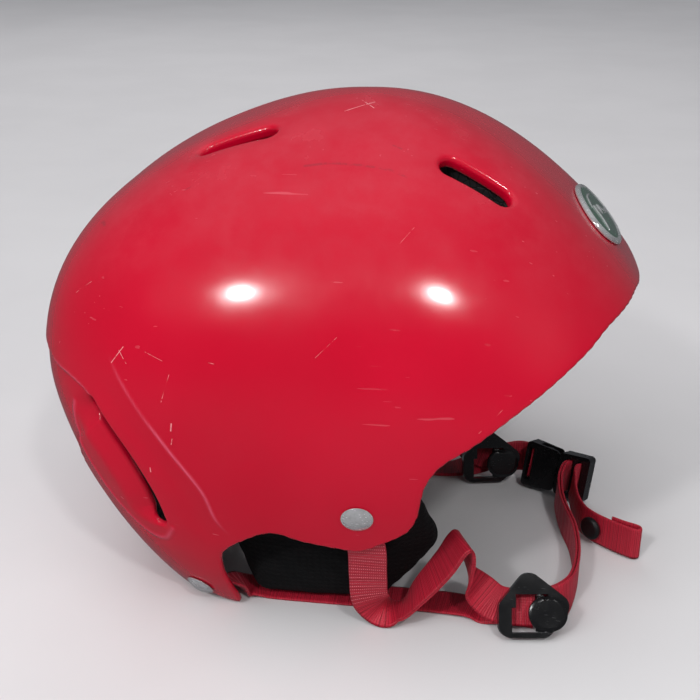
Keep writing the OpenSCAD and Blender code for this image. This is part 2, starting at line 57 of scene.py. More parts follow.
# ------------------------------------------------------------------ camera
scene = bpy.context.scene
cam_data = bpy.data.cameras.new("cam")
cam = bpy.data.objects.new("cam", cam_data)
scene.collection.objects.link(cam)
el, az, roll = 23.222 * D2R, 7.271 * D2R, 0.521 * D2R
F = Vector((-math.sin(az) * math.cos(el), math.cos(az) * math.cos(el), -math.sin(el)))
R0 = Vector((math.cos(az), math.sin(az), 0))
U0 = R0.cross(F)
R = math.cos(roll) * R0 + math.sin(roll) * U0
U = -math.sin(roll) * R0 + math.cos(roll) * U0
cam.matrix_world = Matrix(((R.x, U.x, -F.x, 0.0547), (R.y, U.y, -F.y, -0.4648), (R.z, U.z, -F.z, 0.29169), (0, 0, 0, 1)))
cam_data.sensor_width = 36
cam_data.lens = 36 * 1132.29 / 700
cam_data.clip_start = 0.02
scene.camera = cam
scene.view_settings.view_transform = "Standard"
scene.view_settings.look = "None"

# ------------------------------------------------------------------ shell surface (mm)
CZ = 102.0


def dirs(a, p):
    a = np.asarray(a, float) * D2R
    p = np.asarray(p, float) * D2R
    return np.stack([np.sin(p) * np.cos(a), np.sin(p) * np.sin(a), np.cos(p)], -1)


def reach(d):
    x, y, z = d[..., 0], d[..., 1], d[..., 2]
    a = 130.5 * (1 + 0.06 * z)
    b = 109 * (1 - 0.035 * x)
    c = 123.5 * (1 - 0.15 * z - 0.16 * x - 0.19 * x * x + 0.19 * x * z)
    g = (np.abs(x / a) ** 2.8 + np.abs(y / b) ** 2.8 + 1e-9) ** (1.82 / 2.8) + np.abs(z / c) ** 1.82
    return g ** (-1 / 1.82)


def surf(a, p, t=0.0):
    d = dirs(a, p)
    return np.array([0, 0, CZ]) + d * (reach(d) - t)[..., None]


def surf_n(a, p):
    """True outward normal."""
    e = 0.2
    u = surf(a, p + e) - surf(a, p - e)
    v = surf(a + e, p) - surf(a - e, p)
    n = np.cross(u, v)
    return n / np.linalg.norm(n, axis=-1, keepdims=True)


EDGE = [[0, 74], [10, 73.2], [19, 72.5], [33, 74], [41, 77], [48, 80.5], [56, 85.5], [63, 91], [68, 95], [70.4, 99.5],
        [71, 104], [71.3, 109], [73, 113.5], [78, 117.5], [83, 120], [89, 119], [96, 117], [102, 114.5], [108, 116.6],
        [114.5, 121], [117, 127], [118.3, 134], [120, 140.3], [124, 140.2], [130, 138.5], [140, 138], [152, 138],
        [166, 138], [180, 138]]


def catmull(P, n, closed=False):
    P = np.asarray(P, float)
    m = len(P)
    out = []
    idx = (lambda i: P[i % m]) if closed else (lambda i: P[max(0, min(m - 1, i))])
    for i in range(m if closed else m - 1):
        a, b, c, d = idx(i - 1), idx(i), idx(i + 1), idx(i + 2)
        for k in range(n):
            u = k / n
            out.append(0.5 * (2 * b + (c - a) * u + (2 * a - 5 * b + 4 * c - d) * u * u + (3 * b - a - 3 * c + d) * u ** 3))
    if not closed:
        out.append(P[-1])
    return np.array(out)


def edge_ring(per=12):
    E = np.array(EDGE, float)
    full = np.vstack([np.array([[-a, p] for a, p in E]), np.array([[a - 360, p] for a, p in E[-2:0:-1]])])
    # spline in the unrolled (azimuth, polar) chart, closed with a wrap of 360
    m = len(full)
    ext = [full[i % m] - np.array([360.0 * (i // m), 0]) for i in range(-1, m + 2)]
    out = []
    for i in range(m):
        a, b, c, d = ext[i], ext[i + 1], ext[i + 2], ext[i + 3]
        for k in range(per):
            u = k / per
            out.append(0.5 * (2 * b + (c - a) * u + (2 * a - 5 * b + 4 * c - d) * u * u + (3 * b - a - 3 * c + d) * u ** 3))
    return np.array(out)


def plane(ap):
    ap = np.asarray(ap, float)
    return np.stack([ap[..., 1] * np.cos(ap[..., 0] * D2R), ap[..., 1] * np.sin(ap[..., 0] * D2R)], -1)


def unplane(q):
    q = np.asarray(q, float)
    return np.degrees(np.arctan2(q[..., 1], q[..., 0])), np.hypot(q[..., 0], q[..., 1])


def to_chart(p):
    """3-D points near the shell, in mm -> (azimuth, polar)."""
    v = np.asarray(p, float) - np.array([0, 0, CZ])
    r = np.linalg.norm(v, axis=-1)
    return np.stack([np.degrees(np.arctan2(v[..., 1], v[..., 0])), np.degrees(np.arccos(v[..., 2] / r))], -1)


def resample(P, step, closed):
    """Even spacing in 3-D of a curve given in the (azimuth, polar) chart."""
    Q = plane(P)
    if closed:
        Q = np.vstack([Q, Q[:1]])
    a, p = unplane(Q)
    X = surf(a, p)
    s = np.concatenate([[0], np.cumsum(np.linalg.norm(np.diff(X, axis=0), axis=1))])
    n = max(3, int(round(s[-1] / step)))
    t = np.linspace(0, s[-1], n + 1)
    if closed:
        t = t[:-1]
    q = np.stack([np.interp(t, s, Q[:, 0]), np.interp(t, s, Q[:, 1])], -1)
    a, p = unplane(q)
    return np.stack([a, p], -1)


def curve3(P, step, closed):
    c = resample(P, step, closed)
    return surf(c[:, 0], c[:, 1])


def nearest(X, C):
    """Distance from each X to the point set C, with the index."""
    kd = KDTree(len(C))
    for i, c in enumerate(C):
        kd.insert(c, i)
    kd.balance()
    d = np.empty(len(X))
    j = np.empty(len(X), int)
    for i, x in enumerate(X):
        _, k, r = kd.find(x)
        d[i], j[i] = r, k
    return d, j


def obround(path, w, side=None):
    """Closed outline, in the chart, of a slot of width w mm along a path (2 or more chart points)."""
    c = resample(path, 1.0, False)
    X = surf(c[:, 0], c[:, 1])
    N = surf_n(c[:, 0], c[:, 1])
    T = np.gradient(X, axis=0)
    T /= np.linalg.norm(T, axis=1, keepdims=True)
    B = np.cross(N, T)
    h = np.full(len(X), w / 2.0)
    pts = [X[i] + B[i] * h[i] for i in range(len(X))]
    for k in range(1, 12):
        a = math.pi * k / 12
        pts.append(X[-1] + (w / 2.0) * (B[-1] * math.cos(a) + T[-1] * math.sin(a)))
    pts += [X[i] - B[i] * h[i] for i in range(len(X) - 1, -1, -1)]
    for k in range(1, 12):
        a = math.pi * k / 12
        pts.append(X[0] + (w / 2.0) * (-B[0] * math.cos(a) - T[0] * math.sin(a)))
    return to_chart(np.array(pts))


def flip(P):
    P = np.array(P, float)
    return np.stack([-P[:, 0], P[:, 1]], -1)


def sstep(a, b, x):
    t = np.clip((x - a) / (b - a), 0, 1)
    return t * t * (3 - 2 * t)


FRONT_SLOT = [[-51.5, 36], [-42, 45.5]]
REAR_SLOT = [[-147.5, 37.5], [-134, 27.5]]
SCOOP = catmull([[-134.4, 89.8], [-129, 98], [-126.5, 106], [-126.5, 112.8]], 8)
STEP = catmull([[-180, 84.3], [-165, 84.6], [-150.3, 85.1], [-145.2, 85.8], [-140.5, 86.1], [-137.6, 86.6], [-135, 87.6],
                [-132.4, 90.2]], 8)
CREASE = catmull([[-131.5, 78.5], [-129.5, 81.2], [-123.8, 88.3], [-119.7, 93.9], [-114.5, 103.2], [-113, 111.3], [-110, 117]], 8)
RING_LIP = catmull([[-139.5, 91], [-141, 97], [-139, 106], [-135.5, 113.5], [-131.5, 117.8], [-127.2, 118.2], [-123.8, 114.8]], 8)
GAP_W = 7.4


class Field:
    """Distances, in mm along the surface, from a set of chart points to every feature, and the height they make."""

    def __init__(self, AP):
        self.ap = AP
        X = surf(AP[:, 0], AP[:, 1])
        # the features are drawn on the right: mirror everything there
        Xm = X.copy()
        Xm[:, 1] = -np.abs(Xm[:, 1])
        am = to_chart(Xm)
        a, p = am[:, 0], am[:, 1]
        self.rim = nearest(X, curve3(edge_ring(12), 0.5, True))[0]
        sl = np.vstack([curve3(obround(FRONT_SLOT, 9.0), 0.3, True), curve3(obround(REAR_SLOT, 9.0), 0.3, True)])
        self.slot = nearest(Xm, sl)[0]
        gp = curve3(obround(SCOOP, GAP_W), 0.3, True)
        self.gap = nearest(Xm, gp)[0]
        # scoop line: signed distance w (+ to the rear) and place s along it
        sc = resample(SCOOP, 0.5, False)
        scx = surf(sc[:, 0], sc[:, 1])
        T = np.gradient(scx, axis=0)
        T /= np.linalg.norm(T, axis=1, keepdims=True)
        B = np.cross(surf_n(sc[:, 0], sc[:, 1]), T)
        d, j = nearest(Xm, scx)
        side = np.einsum("ij,ij->i", Xm - scx[j], B[j])
        rear = -1.0 if B[len(B) // 2][0] > 0 else 1.0
        self.w = np.sign(side) * rear * d
        self.lat = side * rear
        L = 0.5 * (len(scx) - 1)
        self.s = j * 0.5
        over = np.einsum("ij,ij->i", Xm - scx[j], T[j])
        self.s = self.s + np.where((j == 0) | (j == len(scx) - 1), over, 0)
        self.L = L
        # step line: signed distance v (+ below it)
        st = resample(STEP, 0.5, False)
        stx = surf(st[:, 0], st[:, 1])
        d, j = nearest(Xm, stx)
        Ts = np.gradient(stx, axis=0)
        Ts /= np.linalg.norm(Ts, axis=1, keepdims=True)
        Bs = np.cross(surf_n(st[:, 0], st[:, 1]), Ts)
        if Bs[10][2] > 0:
            Bs = -Bs
        self.v = np.einsum("ij,ij->i", Xm - stx[j], Bs[j])
        self.vend = np.einsum("ij,ij->i", Xm - stx[j], Ts[j]) * (j == len(stx) - 1)
        cr = resample(CREASE, 0.5, False)
        crx = surf(cr[:, 0], cr[:, 1])
        d, j = nearest(Xm, crx)
        Tc = np.gradient(crx, axis=0)
        Tc /= np.linalg.norm(Tc, axis=1, keepdims=True)
        Bc = np.cross(surf_n(cr[:, 0], cr[:, 1]), Tc)
        if Bc[10][0] > 0:
            Bc = -Bc
        self.u = np.einsum("ij,ij->i", Xm - crx[j], Bc[j])
        self.cs = j / (len(crx) - 1.0)
        rl = resample(RING_LIP, 0.5, False)
        self.ring = nearest(Xm, surf(rl[:, 0], rl[:, 1]))[0]
        self.a, self.p = a, p

    def height(self):
        """Outer relief in mm, + outwards."""
        h = np.zeros(len(self.ap))
        # shallow dish and rounded lip round the four top slots
        h -= 0.55 * np.exp(-(self.slot / 4.6) ** 2)
        # step: everything below the line and behind the gap is set in
        behind = sstep(-0.6, 3.0, self.w) * (np.abs(self.a) > 110)
        above_gap = self.s < 3
        side = np.where(above_gap, 1.0, behind)
        low = 1 - sstep(96, 128, self.p)
        h -= 1.5 * sstep(0.0, 1.2, self.v) * side * low * (self.a < -126) * (1 - sstep(-1, 3, self.vend))
        # crease in front of the gap: the surface breaks by a few degrees
        fade = sstep(0.0, 0.22, self.cs) * (1 - sstep(0.86, 1.0, self.cs))
        uu = np.clip(self.u, 0, None)
        h -= fade * (np.minimum(uu, 9) * 0.075) * (1 - sstep(6, 17, uu)) * (self.w < 1)
        h += fade * 0.16 * np.exp(-(self.u / 0.7) ** 2)
        # scoop pocket: flush at its rear, deep at the gap, with rounded ends
        endf = sstep(-7.5, 1.5, self.s) * (1 - sstep(self.L - 3.5, self.L + 5.0, self.s))
        wp = np.clip(self.lat, 0, None)
        deep = 3.4 * (1 - sstep(1.0, 15.5, wp)) * sstep(-0.2, 0.9, self.lat)
        h -= deep * endf
        # raised lips: left of the pocket and round its lower end
        h += 0.42 * np.exp(-(self.ring / 1.1) ** 2)
        return h


def shell_domain(hole_w, gap_w, rim_in=0.0, base=2.3, fine=True):
    """Chart points and triangles inside the rim and outside the slots."""
    pts, segs, loops = [], [], []

    def loop(P, step):
        c = resample(P, step, True)
        q = plane(c)
        i0 = len(pts)
        pts.extend(map(tuple, q))
        n = len(q)
        segs.extend((i0 + k, i0 + (k + 1) % n) for k in range(n))
        loops.append((i0, n))
        return q

    rim = edge_ring(12)
    if rim_in:
        X = surf(rim[:, 0], rim[:, 1] - rim_in / 2.05)
        rim = to_chart(X)
    loops_q = [loop(rim, 1.1)]
    for P, w, st in ((FRONT_SLOT, hole_w, 0.7), (REAR_SLOT, hole_w, 0.7), (SCOOP, gap_w, 0.7)):
        o = obround(P, w)
        loops_q.append(loop(o, st))
        loops_q.append(loop(flip(o)[::-1], st))
    # offset rows that carry the fillets
    bnd = np.vstack([surf(*unplane(q)) for q in loops_q])
    cand = []
    p = 0.0
    cand.append((0.0, 0.0))
    while p < 146:
        r = float(reach(dirs(-90.0, max(p, 1.0))))
        p += base / (r * D2R)
        n = max(6, int(2 * math.pi * r * math.sin(min(p, 179) * D2R) / base))
        off = (p * 7.31) % 1.0
        for k in range(n):
            cand.append(((k + off) * 360.0 / n - 180, p))
    cand = np.array(cand)
    if fine:
        # finer points where there is relief
        g = np.arange(78, 126, 0.36)
        h = np.arange(-180, -104, 0.36)
        A, B = np.meshgrid(h, g)
        f = np.stack([A.ravel(), B.ravel()], -1)
        f[:, 0] += np.where((np.round(f[:, 1] / 0.36) % 2) == 0, 0.18, 0)
        X = surf(f[:, 0], f[:, 1])
        feat = np.vstack([curve3(SCOOP, 1.0, False), curve3(STEP, 1.0, False), curve3(CREASE, 1.0, False), curve3(RING_LIP, 1.0, False)])
        d = nearest(X, feat)[0]
        keep = d < 3.2
        sc = nearest(X, curve3(SCOOP, 1.0, False))[0]
        keep |= (sc < 17) & (np.arange(len(f)) % 2 == 0)
        f = f[keep]
        cand = np.vstack([cand, f, flip(f)])
    X = surf(cand[:, 0], cand[:, 1])
    q = plane(cand)
    inside = in_poly(q, loops_q[0])
    for lq in loops_q[1:]:
        inside &= ~in_poly(q, lq)
    d = nearest(X, bnd)[0]
    ok = inside & (d > 0.45)
    extra = []
    for k, lq in enumerate(loops_q):
        a, pp = unplane(lq)
        Xb = surf(a, pp)
        N = surf_n(a, pp)
        T = np.roll(Xb, -1, 0) - np.roll(Xb, 1, 0)
        T /= np.linalg.norm(T, axis=1, keepdims=True)
        S = np.cross(N, T)
        c = Xb.mean(0)
        sgn = 1.0
        test = plane(to_chart(Xb + S * 0.5))
        if (in_poly(test, lq).mean() > 0.5) != (k == 0):
            sgn = -1.0
        for off in ((0.35, 0.8, 1.3, 1.9, 2.7, 3.6) if k else (0.35, 0.8, 1.3, 2.0)):
            extra.append(to_chart(Xb + sgn * S * off))
    E = np.vstack(extra)
    XE = surf(E[:, 0], E[:, 1])
    dE = nearest(XE, bnd)[0]
    qe = plane(E)
    insE = in_poly(qe, loops_q[0])
    for lq in loops_q[1:]:
        insE &= ~in_poly(qe, lq)
    E = E[insE & (dE > 0.28)]
    dd = nearest(X, surf(E[:, 0], E[:, 1]))[0]
    cand = cand[ok & (dd > 0.4)]
    allp = np.vstack([np.array(pts), plane(E), plane(cand)])
    o = delaunay_2d_cdt([Vector(v) for v in allp], segs, [], 0, 1e-7)
    V = np.array([tuple(v) for v in o[0]])
    T = np.array(o[2])
    # keep triangles inside the rim and outside the holes
    c = V[T].mean(1)
    k = in_poly(c, loops_q[0])
    for lq in loops_q[1:]:
        k &= ~in_poly(c, lq)
    T = T[k]
    e1 = V[T[:, 1]] - V[T[:, 0]]
    e2 = V[T[:, 2]] - V[T[:, 0]]
    bad = (e1[:, 0] * e2[:, 1] - e1[:, 1] * e2[:, 0]) < 0
    T[bad] = T[bad][:, ::-1]
    a, p = unplane(V)
    return np.stack([a, p], -1), T


def in_poly(q, poly):
    """Even-odd test of points q against a closed polygon in the plane."""
    x, y = q[:, 0], q[:, 1]
    ins = np.zeros(len(q), bool)
    lo, hi = poly.min(0), poly.max(0)
    m = (x >= lo[0]) & (x <= hi[0]) & (y >= lo[1]) & (y <= hi[1])
    idx = np.nonzero(m)[0]
    if len(idx) == 0:
        return ins
    xs, ys = x[idx], y[idx]
    r = np.zeros(len(idx), bool)
    x0, y0 = poly[:, 0], poly[:, 1]
    x1, y1 = np.roll(x0, -1), np.roll(y0, -1)
    for a, b, c, d in zip(x0, y0, x1, y1):
        cond = (b > ys) != (d > ys)
        if not cond.any():
            continue
        xi = a + (ys - b) * (c - a) / ((d - b) if d != b else 1e-12)
        r ^= cond & (xs < xi)
    ins[idx] = r
    return ins


def boundary_edges(T):
    e = np.vstack([T[:, [0, 1]], T[:, [1, 2]], T[:, [2, 0]]])
    key = set(map(tuple, e))
    return [(a, b) for a, b in key if (b, a) not in key]


def make_mesh(name, V, faces, smooth=True, mat=None):
    me = bpy.data.meshes.new(name)
    me.from_pydata([tuple(v) for v in (np.asarray(V) * MM)], [], [tuple(int(i) for i in f) for f in faces])
    me.validate()
    me.update()
    if smooth:
        me.shade_smooth()
    ob = bpy.data.objects.new(name, me)
    scene.collection.objects.link(ob)
    if mat:
        me.materials.append(mat)
    return ob


def fillet(d, r):
    """Depth below the face of a rounded corner of radius r at a distance d from the edge."""
    x = np.clip(r - d, 0, r)
    return r - np.sqrt(np.maximum(r * r - x * x, 0))


def wall_mesh(name, AP, T, t_out, t_in, mid_rows=2, mat=None):
    """Closed wall between two offset surfaces of the same chart triangulation."""
    n = len(AP)
    Vo = offset_points(AP, t_out)
    Vi = offset_points(AP, t_in)
    V = [Vo, Vi]
    faces = [tuple(t) for t in T] + [tuple(t[::-1] + n) for t in T]
    be = boundary_edges(T)
    ids = sorted(set(i for e in be for i in e))
    rows = []
    base = 2 * n
    for k in range(1, mid_rows + 1):
        f = k / (mid_rows + 1)
        rows.append({i: base + m for m, i in enumerate(ids)})
        V.append(Vo[ids] * (1 - f) + Vi[ids] * f)
        base += len(ids)
    for a, b in be:
        prev = (a, b)
        for r in rows:
            cur = (r[a], r[b])
            faces.append((prev[1], prev[0], cur[0], cur[1]))
            prev = cur
        faces.append((prev[1], prev[0], a + n, b + n))
    return make_mesh(name, np.vstack(V), faces, mat=mat)


def offset_points(AP, t):
    """Points of the chart pushed in by t mm along the true normal."""
    X = surf(AP[:, 0], AP[:, 1])
    N = surf_n(AP[:, 0], np.clip(AP[:, 1], 0.3, 179))
    return X - N * np.asarray(t)[:, None]

# ------------------------------------------------------------------ materials


class Mat:
    """Small helper that builds a node material."""

    def __init__(self, name):
        self.m = bpy.data.materials.new(name)
        self.m.use_nodes = True
        self.t = self.m.node_tree
        self.b = self.t.nodes["Principled BSDF"]
        self.co = self.n("ShaderNodeTexCoord").outputs["Object"]

    def n(self, kind, **kw):
        x = self.t.nodes.new(kind)
        for k, v in kw.items():
            setattr(x, k, v)
        return x

    def link(self, a, b):
        self.t.links.new(a, b)

    def val(self, sock, v):
        if hasattr(v, "is_output"):
            self.link(v, sock)
        else:
            sock.default_value = v

    def math(self, op, a, b=None, c=None, clamp=False):
        x = self.n("ShaderNodeMath", operation=op, use_clamp=clamp)
        self.val(x.inputs[0], a)
        if b is not None:
            self.val(x.inputs[1], b)
        if c is not None:
            self.val(x.inputs[2], c)
        return x.outputs[0]

    def vec(self, op, a, b=None, scale=None):
        x = self.n("ShaderNodeVectorMath", operation=op)
        self.val(x.inputs[0], a)
        if b is not None:
            self.val(x.inputs[1], b)
        if scale is not None:
            self.val(x.inputs["Scale"], scale)
        return x.outputs["Value"] if op in ("LENGTH", "DOT_PRODUCT", "DISTANCE") else x.outputs["Vector"]

    def noise(self, scale, detail=3.0, rough=0.55, co=None, dist=0.0):
        x = self.n("ShaderNodeTexNoise")
        self.link(co or self.co, x.inputs["Vector"])
        x.inputs["Scale"].default_value = scale
        x.inputs["Detail"].default_value = detail
        x.inputs["Roughness"].default_value = rough
        x.inputs["Distortion"].default_value = dist
        return x.outputs["Fac"]

    def mapping(self, rot=(0, 0, 0), scale=(1, 1, 1), co=None):
        x = self.n("ShaderNodeMapping")
        self.link(co or self.co, x.inputs["Vector"])
        x.inputs["Rotation"].default_value = rot
        x.inputs["Scale"].default_value = scale
        return x.outputs["Vector"]

    def ramp(self, v, a, b, lo=0.0, hi=1.0, smooth=True):
        x = self.n("ShaderNodeMapRange", interpolation_type="SMOOTHSTEP" if smooth else "LINEAR")
        self.link(v, x.inputs["Value"])
        x.inputs["From Min"].default_value = a
        x.inputs["From Max"].default_value = b
        x.inputs["To Min"].default_value = lo
        x.inputs["To Max"].default_value = hi
        return x.outputs["Result"]

    def mix(self, f, a, b):
        x = self.n("ShaderNodeMix", data_type="RGBA")
        self.val(x.inputs[0], f)
        for s, v in ((x.inputs[6], a), (x.inputs[7], b)):
            if hasattr(v, "is_output"):
                self.link(v, s)
            else:
                s.default_value = (*v, 1) if len(v) == 3 else v
        return x.outputs[2]

    def bump(self, h, strength, dist, normal=None):
        x = self.n("ShaderNodeBump")
        self.link(h, x.inputs["Height"])
        x.inputs["Strength"].default_value = strength
        x.inputs["Distance"].default_value = dist
        if normal is not None:
            self.link(normal, x.inputs["Normal"])
        return x.outputs["Normal"]

    def segment(self, A, B, w):
        """1 within about w metres of the segment AB, 0 away from it."""
        A, B = Vector(A), Vector(B)
        ab = B - A
        pa = self.vec("SUBTRACT", self.co, tuple(A))
        t = self.math("MULTIPLY", self.vec("DOT_PRODUCT", pa, tuple(ab)), 1.0 / max(ab.length_squared, 1e-12), clamp=True)
        q = self.vec("SCALE", tuple(ab), None, t)
        d = self.vec("LENGTH", self.vec("SUBTRACT", pa, q))
        return self.ramp(d, w, w * 0.3)


def spt(a, p, t=0.0):
    return surf(np.array([a]), np.array([p]), t)[0] * MM


def shell_material():
    k = Mat("shell_red")
    b = k.b
    big = k.noise(9, 3, 0.5)
    base = k.mix(k.ramp(big, 0.3, 0.7), (0.43, 0.0006, 0.016), (0.49, 0.0009, 0.020))
    # rows of hairline scratches: stretched noise, thresholded and masked in patches
    hair = None
    for i, (rot, sc, lo) in enumerate((((0.3, 0.2, 0.5), (7, 520, 520), 0.75), ((1.2, 0.7, 2.1), (8, 600, 600), 0.757),
                                       ((2.2, 1.9, 0.3), (12, 680, 680), 0.765))):
        v = k.noise(1.0, 1.0, 0.5, k.mapping(rot, sc))
        m = k.ramp(v, lo, lo + 0.02)
        patch = k.ramp(k.noise(14 + 5 * i, 1, 0.5, k.mapping((i, 1.0, 0.4 * i), (1, 1, 1))), 0.54, 0.64)
        m = k.math("MULTIPLY", m, patch)
        hair = m if hair is None else k.math("MAXIMUM", hair, m)
    # a few definite marks, each at its own place on the shell: (azimuth, polar) to (azimuth, polar), half width in mm
    marks = [((-99.2, 14.4), (-68.5, 9.9), 0.42, 0.9), ((-85.4, 8.2), (-73.1, 13.0), 0.35, 0.9), ((-129.7, 81.0), (-127.9, 77.8), 0.3, 0.8),
             ((-118.5, 79.8), (-119.7, 85.6), 0.28, 0.9), ((-128.6, 78.6), (-126.8, 80.4), 0.25, 0.7), ((-117.9, 89.4), (-118.1, 90.8), 0.5, 0.8),
             ((-124.5, 93.1), (-124.7, 94.9), 0.28, 0.7), ((-123.5, 99.6), (-123.6, 100.5), 0.45, 0.8), ((-130.5, 104.7), (-130.2, 106.2), 0.22, 0.6),
             ((-118.0, 92.4), (-118.3, 93.6), 0.25, 0.7), ((-112.5, 77.1), (-110.8, 77.2), 0.22, 0.6), ((-123.6, 77.6), (-120.2, 78.4), 0.18, 0.5),
             ((-62, 88), (-58, 84), 0.2, 0.5), ((-88, 70), (-92, 74), 0.16, 0.4), ((-74, 52), (-70, 49), 0.16, 0.4), ((-140, 70), (-143, 73), 0.2, 0.6),
             ((60, 70), (66, 74), 0.25, 0.7), ((100, 85), (104, 80), 0.25, 0.7), ((140, 60), (133, 64), 0.22, 0.6), ((178, 60), (171, 55), 0.25, 0.7)]
    pale = None
    for a, c, w, s in marks:
        m = k.math("MULTIPLY", k.segment(spt(*a), spt(*c), w * MM * 0.72), s)
        pale = m if pale is None else k.math("MAXIMUM", pale, m)
    broken = k.ramp(k.noise(420, 2, 0.6), 0.36, 0.52)
    pale = k.math("MULTIPLY", pale, broken)
    # painted highlight: the red is lightened along the crease, the step and the lips of the scoop, broken up by noise;
    # weight carried by the mesh
    pale_mask = k.n("ShaderNodeAttribute", attribute_name="pale_mask", attribute_type="GEOMETRY").outputs["Fac"]
    edge = k.math("MULTIPLY", pale_mask, k.ramp(k.noise(45, 3, 0.6), 0.3, 0.6, 0.35, 1.0))
    # dark scuff arcs on the top
    arcs = [(-103.9, 34.8), (-95.4, 33.1), (-84.2, 33.3), (-73.7, 35.0), (-67.7, 37.6)]
    dark = None
    for a, c in zip(arcs[:-1], arcs[1:]):
        m = k.segment(spt(*a), spt(*c), 0.9 * MM)
        dark = m if dark is None else k.math("MAXIMUM", dark, m)
    for a, c, w in (((-151.1, 61.4), (-148.5, 61.2), 1.3), ((-133.9, 48.3), (-132.1, 45.5), 0.5), ((-70, 28), (-64, 31), 0.6)):
        dark = k.math("MAXIMUM", dark, k.segment(spt(*a), spt(*c), w * MM))
    dark = k.math("MULTIPLY", dark, k.ramp(k.noise(300, 2, 0.7), 0.42, 0.6))
    col = k.mix(k.math("MULTIPLY", hair, 0.22), base, (0.70, 0.16, 0.20))
    col = k.mix(k.math("MULTIPLY", pale, 0.7), col, (0.88, 0.45, 0.47))
    # painted highlight along the crease, the step and the lips of the scoop
    col = k.mix(k.math("MULTIPLY", edge, 0.55), col, (0.80, 0.16, 0.27))
    col = k.mix(k.math("MULTIPLY", dark, 0.4), col, (0.16, 0.01, 0.02))
    # dust settled on the upward faces, with a painted sheen: the up-facing shell is also lightened towards pink
    up = k.n("ShaderNodeSeparateXYZ")
    geo = k.n("ShaderNodeNewGeometry")
    k.link(geo.outputs["Normal"], up.inputs[0])
    dust_and_sheen = k.math("MULTIPLY", k.ramp(up.outputs[2], 0.35, 1.0), k.ramp(k.noise(60, 4, 0.7), 0.3, 0.8, 0.35, 1.0))
    col = k.mix(k.math("MULTIPLY", dust_and_sheen, 0.05), col, (0.8, 0.5, 0.56))
    k.link(col, b.inputs["Base Color"])
    r = k.ramp(k.noise(30, 4, 0.6), 0.3, 0.7, 0.15, 0.21)
    r = k.math("ADD", r, k.math("MULTIPLY", k.math("MAXIMUM", hair, pale), 0.3))
    r = k.math("ADD", r, k.math("MULTIPLY", dust_and_sheen, 0.10))
    k.link(r, b.inputs["Roughness"])
    b.inputs["IOR"].default_value = 1.5
    b.inputs["Specular IOR Level"].default_value = 0.55
    b.inputs["Coat Weight"].default_value = 0.35
    b.inputs["Coat Roughness"].default_value = 0.08
    n1 = k.bump(k.noise(170, 2, 0.5), 0.035, 0.0004)
    n2 = k.bump(k.math("MAXIMUM", hair, pale), 0.25, -0.00008, n1)
    k.link(n2, b.inputs["Normal"])
    return k.m


def fabric_material(name, dark, light, scale=2200.0, sheen=0.25, rough=0.92, fuzz=0.6):
    k = Mat(name)
    b = k.b
    w1 = k.n("ShaderNodeTexWave", wave_type="BANDS", bands_direction="X")
    w2 = k.n("ShaderNodeTexWave", wave_type="BANDS", bands_direction="Z")
    for w in (w1, w2):
        k.link(k.co, w.inputs["Vector"])
        w.inputs["Scale"].default_value = scale / 20
        w.inputs["Distortion"].default_value = 2.2
        w.inputs["Detail"].default_value = 2
    weave = k.math("MULTIPLY", w1.outputs["Fac"], w2.outputs["Fac"])
    fz = k.noise(900, 4, 0.75)
    cloud = k.noise(35, 3, 0.6)
    m = k.math("MULTIPLY", k.ramp(fz, 0.3, 0.75), k.ramp(cloud, 0.25, 0.8, 0.4, 1.0))
    col = k.mix(m, dark, light)
    lint = k.ramp(k.noise(1500, 1, 0.5), 0.77, 0.80)
    col = k.mix(k.math("MULTIPLY", lint, 0.2), col, (0.12, 0.11, 0.11))
    k.link(col, b.inputs["Base Color"])
    b.inputs["Roughness"].default_value = rough
    b.inputs["Specular IOR Level"].default_value = 0.2
    b.inputs["Sheen Weight"].default_value = sheen
    b.inputs["Sheen Roughness"].default_value = 0.5
    b.inputs["Sheen Tint"].default_value = (0.6, 0.6, 0.65, 1)
    n = k.bump(weave, 0.35, 0.0004)
    n = k.bump(fz, fuzz, 0.0006, n)
    k.link(n, b.inputs["Normal"])
    return k.m


def foam_material():
    k = Mat("liner_foam")
    v = k.n("ShaderNodeTexVoronoi", feature="DISTANCE_TO_EDGE")
    k.link(k.co, v.inputs["Vector"])
    v.inputs["Scale"].default_value = 330
    cell = k.ramp(v.outputs["Distance"], 0.0, 0.12)
    col = k.mix(cell, (0.006, 0.006, 0.006), (0.022, 0.022, 0.024))
    col = k.mix(k.math("MULTIPLY", k.ramp(k.noise(24, 3, 0.6), 0.45, 0.8), 0.4), col, (0.05, 0.048, 0.045))
    k.link(col, k.b.inputs["Base Color"])
    k.link(k.ramp(cell, 0, 1, 0.75, 0.5), k.b.inputs["Roughness"])
    k.link(k.bump(cell, 0.6, 0.0003), k.b.inputs["Normal"])
    return k.m


